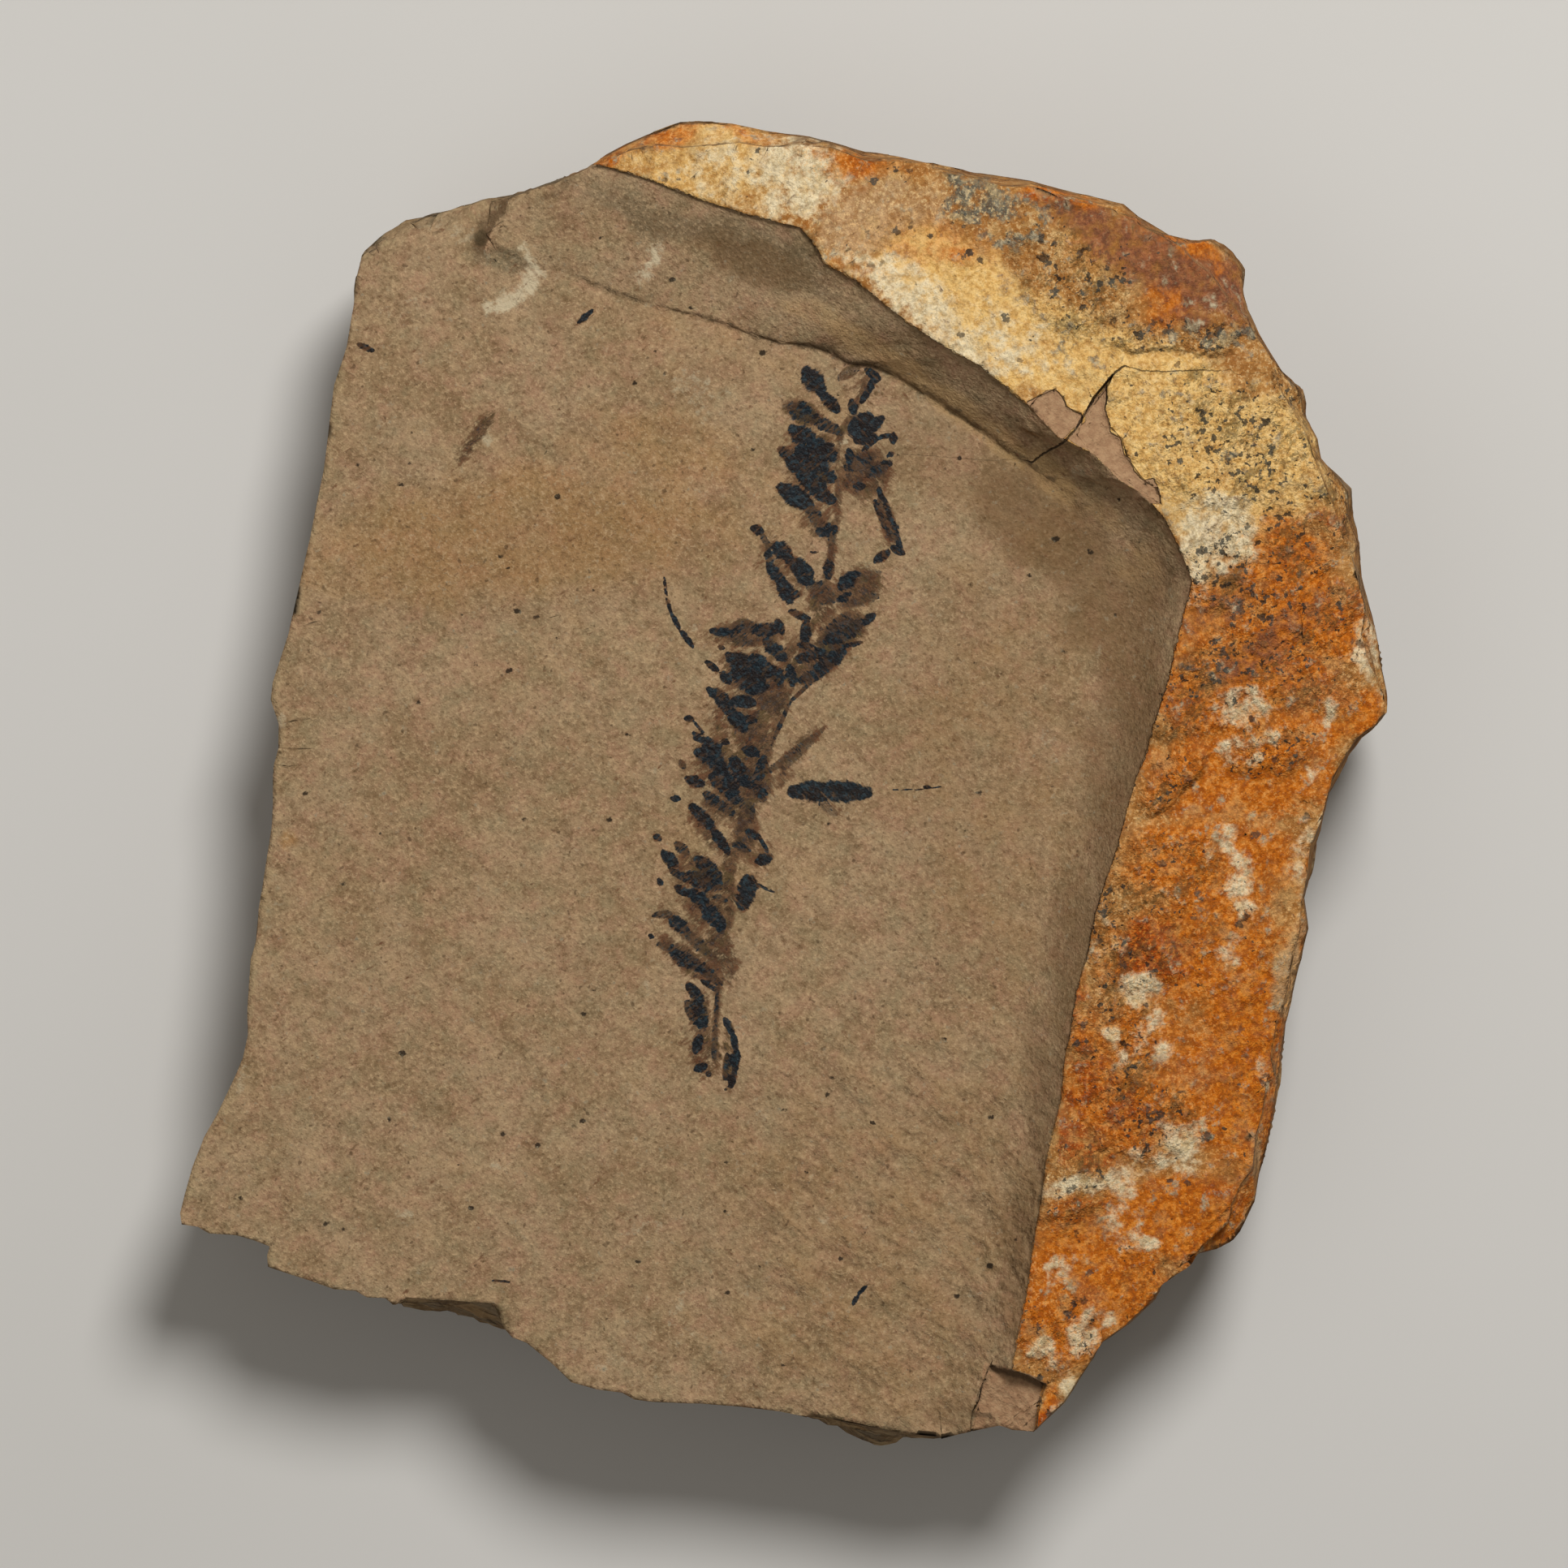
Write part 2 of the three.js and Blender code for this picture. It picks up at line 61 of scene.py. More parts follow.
MM = 0.001
PLATE_LENGTH = 120 * MM
DRAWING_LEFT, DRAWING_RIGHT, DRAWING_TOP, DRAWING_BOTTOM = 220, 1713, 143, 1789
UNIT = PLATE_LENGTH / (DRAWING_BOTTOM - DRAWING_TOP)
MIDDLE_ACROSS = (DRAWING_LEFT + DRAWING_RIGHT) / 2
MIDDLE_DOWN = (DRAWING_TOP + DRAWING_BOTTOM) / 2
DRAWING_WIDTH = 1932
FACE_HEIGHT = 17 * MM
CRUST_HEIGHT = 22 * MM

# The crisp edge where the split face ends in the crust, from the upper left to the bottom.
CRUST_EDGE = [
    (700, 180), (735, 203), (746, 205), (774, 213), (802, 222), (835, 235), (868, 248), (896, 257),
    (924, 266), (955, 274), (986, 281), (1001, 299), (1016, 325), (1034, 336), (1052, 345),
    (1080, 368), (1108, 391), (1134, 409), (1159, 426), (1180, 437), (1205, 451), (1232, 472),
    (1266, 500), (1280, 516), (1302, 539), (1325, 550), (1343, 558), (1364, 577), (1377, 592),
    (1402, 606), (1415, 619), (1431, 636), (1444, 659), (1457, 688), (1468, 716), (1462, 740),
    (1454, 770), (1447, 800), (1441, 830), (1433, 857), (1420, 895), (1412, 926), (1399, 960),
    (1387, 1002), (1376, 1044), (1364, 1079), (1349, 1125), (1338, 1182), (1326, 1220),
    (1317, 1280), (1312, 1300), (1307, 1353), (1297, 1395), (1288, 1430), (1282, 1480),
    (1272, 1537), (1265, 1594), (1255, 1640), (1249, 1675), (1240, 1730), (1226, 1830),
]

# ---- the fossil twig: strokes of (across, down) to (across, down), width, and how much char is left

STEM = [
    (1075, 460), (1045, 520), (1036, 532), (1034, 560), (1032, 600), (1029, 640), (1025, 660),
    (1022, 700), (1005, 760), (985, 810), (972, 852), (963, 879), (950, 914), (937, 968),
    (919, 1021), (905, 1048), (900, 1095), (898, 1130), (895, 1160), (890, 1190), (884, 1220),
    (882, 1260), (880, 1305),
]
STEM_WIDTH = 8
UPPER_LEFT_NEEDLES = [
    (994, 458, 1010, 478, 25, 1), (1014, 486, 1032, 504, 15, 0.95), (975, 500, 1002, 512, 22, 0.6),
    (985, 497, 996, 506, 14, 0.8), (1000, 514, 1036, 532, 13, 0.6), (966, 499, 969, 502, 8, 0.4),
    (978, 530, 1002, 546, 24, 0.85), (1000, 547, 1024, 560, 28, 0.9), (986, 553, 1012, 572, 26, 0.9),
    (962, 553, 980, 566, 15, 0.8), (972, 566, 992, 582, 18, 0.9), (984, 576, 1008, 594, 26, 0.95),
    (1004, 574, 1026, 590, 18, 0.7), (992, 592, 1018, 606, 18, 0.85), (964, 601, 996, 621, 24, 1),
    (1002, 604, 1026, 616, 16, 0.85), (988, 618, 1008, 634, 14, 0.6), (1000, 634, 1014, 646, 14, 0.5),
    (1010, 655, 1028, 651, 17, 0.95), (998, 680, 1008, 680, 3, 0.8),
]
UPPER_RIGHT_NEEDLES = [
    (1081, 460, 1062, 494, 9, 0.85), (1068, 455, 1083, 466, 10, 0.7), (1036, 464, 1056, 452, 13, 0.4),
    (1050, 494, 1052, 506, 12, 0.75), (1050, 530, 1070, 513, 22, 0.95),
    (1056, 538, 1086, 515, 15, 0.95), (1056, 542, 1078, 538, 14, 0.85),
    (1064, 553, 1084, 538, 5, 0.75), (1084, 538, 1098, 535, 6, 0.75), (1101, 534, 1101, 544, 10, 0.85),
    (1046, 554, 1049, 570, 11, 0.85), (1046, 576, 1076, 560, 18, 0.5), (1070, 584, 1096, 570, 13, 0.65),
    (1095, 560, 1100, 558, 7, 0.7), (1054, 598, 1064, 598, 11, 0.9), (1040, 594, 1044, 600, 9, 0.5),
    (1078, 617, 1098, 664, 8, 0.75), (1083, 602, 1110, 674, 9, 0.9), (1086, 614, 1104, 664, 14, 0.5),
    (1100, 674, 1113, 681, 10, 0.75), (1080, 690, 1094, 680, 12, 0.75),
]
MIDDLE_RIGHT_NEEDLES = [
    (1037, 722, 1054, 708, 18, 0.85), (1034, 739, 1046, 732, 9, 0.7), (1056, 714, 1082, 706, 12, 0.35),
    (1040, 746, 1080, 734, 10, 0.4), (1064, 768, 1077, 757, 10, 0.95), (1028, 788, 1060, 768, 18, 0.6),
    (1020, 776, 1046, 756, 12, 0.5), (1018, 790, 1034, 782, 14, 0.75), (1040, 796, 1062, 791, 6, 0.75),
    (1004, 828, 1038, 803, 18, 0.85), (984, 812, 1014, 803, 14, 0.8), (988, 838, 1014, 826, 14, 0.7),
    (1022, 690, 1021, 710, 13, 0.75), (1000, 724, 1024, 736, 20, 0.45), (974, 753, 996, 762, 9, 0.65),
    (994, 766, 991, 792, 13, 0.75), (984, 794, 1000, 796, 9, 0.7), (973, 822, 976, 842, 13, 0.85),
    (1034, 812, 1000, 840, 5, 0.6), (1000, 840, 974, 864, 5, 0.6), (974, 864, 950, 918, 5, 0.6),
]
MIDDLE_LEFT_NEEDLES = [
    (928, 650, 938, 654, 12, 0.8), (938, 656, 948, 676, 7, 0.5), (956, 672, 972, 686, 20, 0.85),
    (945, 676, 950, 700, 9, 0.6), (972, 690, 998, 706, 18, 0.85), (984, 706, 998, 717, 18, 0.9),
    (948, 696, 964, 718, 15, 0.9), (962, 716, 973, 738, 18, 0.95), (966, 730, 984, 732, 12, 0.7),
    (876, 777, 902, 779, 10, 0.85), (906, 771, 926, 771, 18, 0.55), (930, 777, 962, 773, 15, 0.7),
    (958, 764, 964, 780, 10, 0.8), (904, 786, 926, 792, 12, 0.45), (886, 796, 890, 798, 8, 0.6),
    (944, 790, 966, 811, 17, 0.95), (930, 808, 958, 836, 15, 0.8), (958, 824, 962, 844, 13, 0.8),
    (908, 814, 934, 844, 36, 1), (924, 851, 944, 846, 15, 1), (896, 806, 902, 812, 12, 0.8),
    (904, 863, 928, 866, 15, 0.9), (890, 830, 898, 840, 12, 0.75), (884, 852, 900, 878, 17, 0.8),
    (872, 848, 884, 860, 9, 0.9), (900, 876, 916, 898, 18, 0.95), (922, 884, 930, 888, 11, 0.7),
    (870, 815, 884, 826, 8, 0.8), (845, 885, 853, 886, 9, 0.95), (854, 888, 868, 905, 4, 0.8),
    (856, 904, 862, 912, 10, 0.8), (870, 914, 884, 930, 22, 0.95), (860, 926, 884, 940, 18, 0.9),
    (876, 934, 892, 952, 19, 1), (892, 912, 896, 916, 9, 0.7), (918, 923, 932, 928, 14, 0.95),
    (904, 936, 918, 964, 18, 0.9), (941, 934, 934, 962, 13, 0.6), (848, 960, 864, 966, 15, 0.85),
    (838, 938, 843, 946, 8, 0.5), (878, 956, 896, 974, 17, 0.7), (898, 960, 904, 986, 19, 0.95),
    (870, 978, 886, 994, 13, 0.6), (934, 966, 940, 984, 16, 0.6), (914, 986, 926, 1000, 14, 0.5),
    (888, 990, 902, 1002, 12, 0.6), (828, 984, 836, 984, 9, 0.95), (922, 950, 930, 976, 12, 0.55),
]
LONE_NEEDLES = [
    (948, 950, 1008, 904, 9, 0.5), (966, 948, 1016, 896, 7, 0.4), (961, 944, 963, 946, 7, 0.8),
    (972, 932, 988, 919, 7, 0.8), (978, 975, 1068, 976, 25, 1.2),
    (1012, 990, 1030, 1003, 10, 0.3), (818, 711, 821, 735, 4, 0.85), (821, 735, 827, 756, 5, 0.95),
    (827, 756, 838, 776, 6, 0.95), (838, 776, 854, 797, 7, 1), (1051, 1609, 1057, 1597, 6, 1.3),
    (1057, 1597, 1068, 1585, 5, 1.3), (1100, 973, 1135, 973, 2, 0.8), (1138, 970, 1146, 970, 5, 0.8),
    (1146, 972, 1162, 969, 2, 0.8), (605, 1579, 630, 1581, 3, 0.7), (711, 397, 716, 394, 5, 0.85),
    (716, 393, 723, 387, 9, 1), (723, 386, 731, 381, 5, 0.8), (440, 423, 458, 431, 7, 0.6),
]
LOWER_NEEDLES = [
    (852, 994, 878, 1020, 15, 0.9), (878, 1022, 897, 1050, 12, 0.9), (922, 1025, 934, 1031, 12, 0.75),
    (904, 1040, 922, 1048, 10, 0.6), (935, 1030, 946, 1050, 5, 0.8), (934, 1062, 948, 1056, 16, 0.95),
    (921, 1084, 915, 1117, 22, 0.95), (926, 1082, 927, 1100, 13, 0.9), (806, 1030, 813, 1034, 9, 0.75),
    (834, 1040, 846, 1052, 12, 0.6), (818, 1052, 832, 1066, 15, 0.8), (826, 1072, 850, 1086, 9, 0.6),
    (860, 1060, 884, 1080, 18, 0.7), (852, 1080, 884, 1092, 22, 0.8), (866, 1066, 888, 1090, 10, 0.85),
    (833, 1093, 846, 1102, 11, 0.8), (854, 1100, 870, 1118, 17, 0.8), (868, 1116, 884, 1138, 20, 0.8),
    (886, 1128, 889, 1148, 13, 0.9), (880, 1105, 894, 1110, 8, 0.5), (812, 1084, 814, 1090, 8, 0.8),
    (806, 1128, 826, 1126, 9, 0.5), (826, 1131, 846, 1148, 15, 0.75), (846, 1150, 870, 1174, 13, 0.5),
    (800, 1153, 804, 1155, 7, 0.85), (812, 1164, 832, 1172, 10, 0.5), (832, 1178, 860, 1190, 18, 0.75),
    (856, 1186, 886, 1212, 14, 0.7), (864, 1208, 884, 1222, 6, 0.75), (932, 1090, 955, 1100, 3, 0.5),
]
LOWEST_NEEDLES = [
    (848, 1214, 864, 1234, 13, 0.75), (856, 1236, 866, 1264, 20, 0.75), (846, 1236, 852, 1254, 10, 0.6),
    (862, 1278, 857, 1296, 13, 0.9), (858, 1318, 868, 1314, 12, 0.85), (872, 1323, 874, 1325, 9, 0.6),
    (893, 1256, 903, 1275, 9, 0.95), (903, 1275, 907, 1295, 8, 0.95), (907, 1295, 905, 1320, 10, 0.95),
    (905, 1320, 900, 1340, 9, 0.9), (896, 1300, 893, 1330, 8, 0.65), (893, 1342, 895, 1344, 5, 0.7),
]
STEM_MARKS = [
    (1025, 655, 1025, 690, 8, 0.4), (884, 1218, 882, 1262, 5, 0.6), (881, 1265, 880, 1305, 7, 0.45),
]
TWIG = (
    UPPER_LEFT_NEEDLES + UPPER_RIGHT_NEEDLES + MIDDLE_RIGHT_NEEDLES + MIDDLE_LEFT_NEEDLES
    + LONE_NEEDLES + LOWER_NEEDLES + LOWEST_NEEDLES + STEM_MARKS
)

# Crumbs of char scattered over the face: across, down, width, and how much char is left.
CRUMBS = [
    (641, 264, 6, 0.6), (783, 276, 7, 0.7), (741, 292, 7, 0.6), (610, 320, 7, 0.7), (827, 343, 7, 0.8),
    (850, 378, 7, 0.75), (781, 471, 8, 0.95), (940, 434, 9, 0.95), (807, 432, 4, 0.7),
    (900, 467, 4, 0.6), (820, 458, 5, 0.6), (505, 532, 6, 0.65), (438, 573, 7, 0.6), (503, 570, 6, 0.6),
    (492, 596, 8, 0.9), (673, 556, 6, 0.7), (687, 612, 8, 0.85), (616, 685, 8, 0.8), (927, 555, 7, 0.8),
    (805, 667, 6, 0.6), (626, 699, 6, 0.7), (390, 753, 8, 0.6), (566, 756, 7, 0.65),
    (635, 753, 8, 0.95), (660, 760, 12, 0.5), (687, 786, 7, 0.75), (626, 826, 9, 0.95),
    (584, 818, 8, 0.6), (514, 864, 7, 0.7), (731, 727, 7, 0.65), (773, 905, 6, 0.85),
    (645, 1010, 7, 0.8), (750, 1010, 8, 0.85), (598, 1022, 7, 0.65), (467, 1028, 6, 0.7),
    (375, 977, 7, 0.75), (423, 1090, 7, 0.6), (733, 1222, 6, 0.65), (495, 1298, 8, 0.9),
    (477, 1382, 8, 0.65), (418, 1385, 7, 0.6), (618, 1398, 8, 0.65), (662, 1411, 8, 0.85),
    (716, 1382, 7, 0.95), (719, 1250, 8, 0.8), (564, 1437, 5, 0.8), (295, 1477, 7, 0.6),
    (400, 1508, 9, 0.7), (422, 1516, 8, 0.6), (580, 1489, 7, 0.75), (785, 1556, 7, 0.6),
    (897, 1594, 7, 0.9), (815, 1538, 7, 0.7), (937, 1562, 7, 0.7), (1020, 1350, 7, 0.8),
    (1026, 1328, 10, 0.65), (967, 1368, 6, 0.7), (1075, 1384, 7, 0.9), (1005, 1423, 7, 0.6),
    (994, 1445, 6, 0.65), (892, 1493, 6, 0.7), (893, 1433, 6, 0.65), (1066, 1520, 5, 0.6),
    (1035, 1552, 6, 0.8), (942, 1523, 5, 0.6), (1220, 1560, 8, 0.95), (1217, 1568, 5, 0.65),
    (1180, 1598, 8, 0.95), (1222, 1377, 8, 0.65), (1250, 1528, 6, 0.85), (1165, 1280, 4, 0.8),
    (965, 1684, 6, 0.65), (930, 1706, 5, 0.6), (1160, 1709, 5, 0.6), (1302, 663, 9, 0.95),
    (1344, 679, 8, 0.95), (1268, 709, 7, 0.85), (1195, 720, 5, 0.6), (1313, 803, 6, 0.65),
    (1202, 817, 5, 0.6), (1375, 756, 5, 0.65), (1430, 856, 7, 0.65), (1297, 968, 5, 0.7),
    (1208, 977, 7, 0.6), (1191, 1023, 7, 0.8), (1250, 1133, 4, 0.7), (1402, 668, 6, 0.65),
    (1183, 564, 6, 0.85), (1165, 577, 5, 0.65), (1380, 615, 6, 0.95), (1022, 1016, 6, 0.7),
    (893, 749, 6, 0.7),
]

# Manganese spots on the crust that stand out: across, down, width, and how black they are.
CRUST_SPOTS = [
    (931, 188, 8, 0.9), (928, 196, 7, 0.95), (935, 183, 5, 0.8), (922, 213, 5, 0.8), (820, 222, 7, 0.6),
    (835, 221, 6, 0.7), (842, 254, 5, 0.7), (1105, 208, 12, 0.9), (1122, 211, 7, 0.6),
    (1077, 223, 12, 0.9), (1068, 286, 10, 0.55), (1104, 286, 11, 0.8), (1124, 281, 12, 0.7),
    (1134, 268, 6, 0.5), (1146, 291, 7, 0.9), (1172, 276, 6, 0.8), (1188, 280, 7, 0.75),
    (1194, 312, 14, 0.95), (1186, 318, 10, 0.85), (1207, 322, 10, 0.85), (1181, 313, 5, 0.8),
    (1076, 310, 4, 0.9), (1073, 326, 13, 0.45), (1086, 326, 12, 0.45), (1236, 390, 11, 0.9),
    (1242, 396, 7, 0.8), (1128, 351, 7, 0.6), (1183, 414, 9, 0.7), (1255, 445, 9, 0.55),
    (1280, 298, 16, 0.85), (1298, 299, 12, 0.75), (1284, 318, 14, 0.8), (1302, 313, 8, 0.9),
    (1332, 316, 14, 0.8), (1340, 308, 8, 0.7), (1363, 332, 12, 0.8), (1382, 338, 13, 0.85),
    (1328, 350, 12, 0.8), (1333, 362, 11, 0.85), (1352, 372, 9, 0.7), (1372, 395, 16, 0.7),
    (1440, 410, 12, 0.8), (1420, 400, 10, 0.7), (1500, 408, 18, 0.7), (1525, 413, 16, 0.75),
    (1545, 418, 14, 0.75), (1400, 432, 10, 0.75), (1450, 450, 10, 0.6), (1502, 670, 14, 0.95),
    (1510, 664, 8, 0.9), (1503, 682, 12, 0.95), (1500, 695, 7, 0.85), (1535, 650, 9, 0.75),
    (1561, 520, 13, 0.95), (1484, 712, 13, 0.85), (1490, 720, 7, 0.8), (1510, 740, 12, 0.6),
    (1528, 750, 16, 0.7), (1520, 762, 14, 0.7), (1508, 805, 12, 0.85), (1500, 822, 8, 0.8),
    (1465, 825, 15, 0.5), (1673, 795, 20, 0.6), (1682, 785, 10, 0.6), (1540, 886, 9, 0.8),
    (1549, 900, 6, 0.9), (1558, 930, 12, 0.85), (1572, 936, 12, 0.7), (1545, 938, 8, 0.8),
    (1467, 958, 14, 0.5), (1548, 1028, 16, 0.7), (1608, 1007, 12, 0.7), (1430, 1062, 16, 0.65),
    (1418, 1074, 10, 0.6), (1474, 1098, 12, 0.7), (1478, 1110, 8, 0.6), (1368, 1095, 10, 0.75),
    (1362, 1128, 12, 0.75), (1533, 1128, 13, 0.75), (1526, 1140, 9, 0.8), (1470, 1132, 8, 0.7),
    (1480, 1178, 12, 0.65), (1355, 1160, 10, 0.7), (1385, 1185, 14, 0.65), (1412, 1238, 8, 0.85),
    (1385, 1285, 12, 0.9), (1365, 1270, 8, 0.6), (1335, 1260, 12, 0.7), (1384, 1380, 12, 0.75),
    (1388, 1392, 9, 0.8), (1418, 1368, 14, 0.6), (1430, 1372, 8, 0.7), (1487, 1400, 14, 0.8),
    (1478, 1404, 8, 0.7), (1440, 1455, 10, 0.85), (1463, 1458, 9, 0.7), (1455, 1345, 10, 0.6),
    (1340, 1413, 12, 0.6), (1322, 1462, 12, 0.8), (1316, 1468, 8, 0.7), (1342, 1570, 12, 0.7),
    (1322, 1606, 12, 0.9), (1314, 1618, 9, 0.8), (1335, 1602, 12, 0.6), (1278, 1635, 12, 0.8),
    (1333, 1658, 9, 0.7), (1557, 1335, 12, 0.7), (1560, 1325, 8, 0.6), (1530, 1268, 9, 0.5),
    (1280, 1700, 12, 0.9), (1286, 1706, 8, 0.8), (1279, 1727, 14, 0.85), (1276, 1738, 8, 0.9),
    (1292, 1742, 7, 0.7), (1275, 1760, 8, 0.6), (1326, 1520, 12, 0.6), (1328, 1530, 7, 0.7),
]
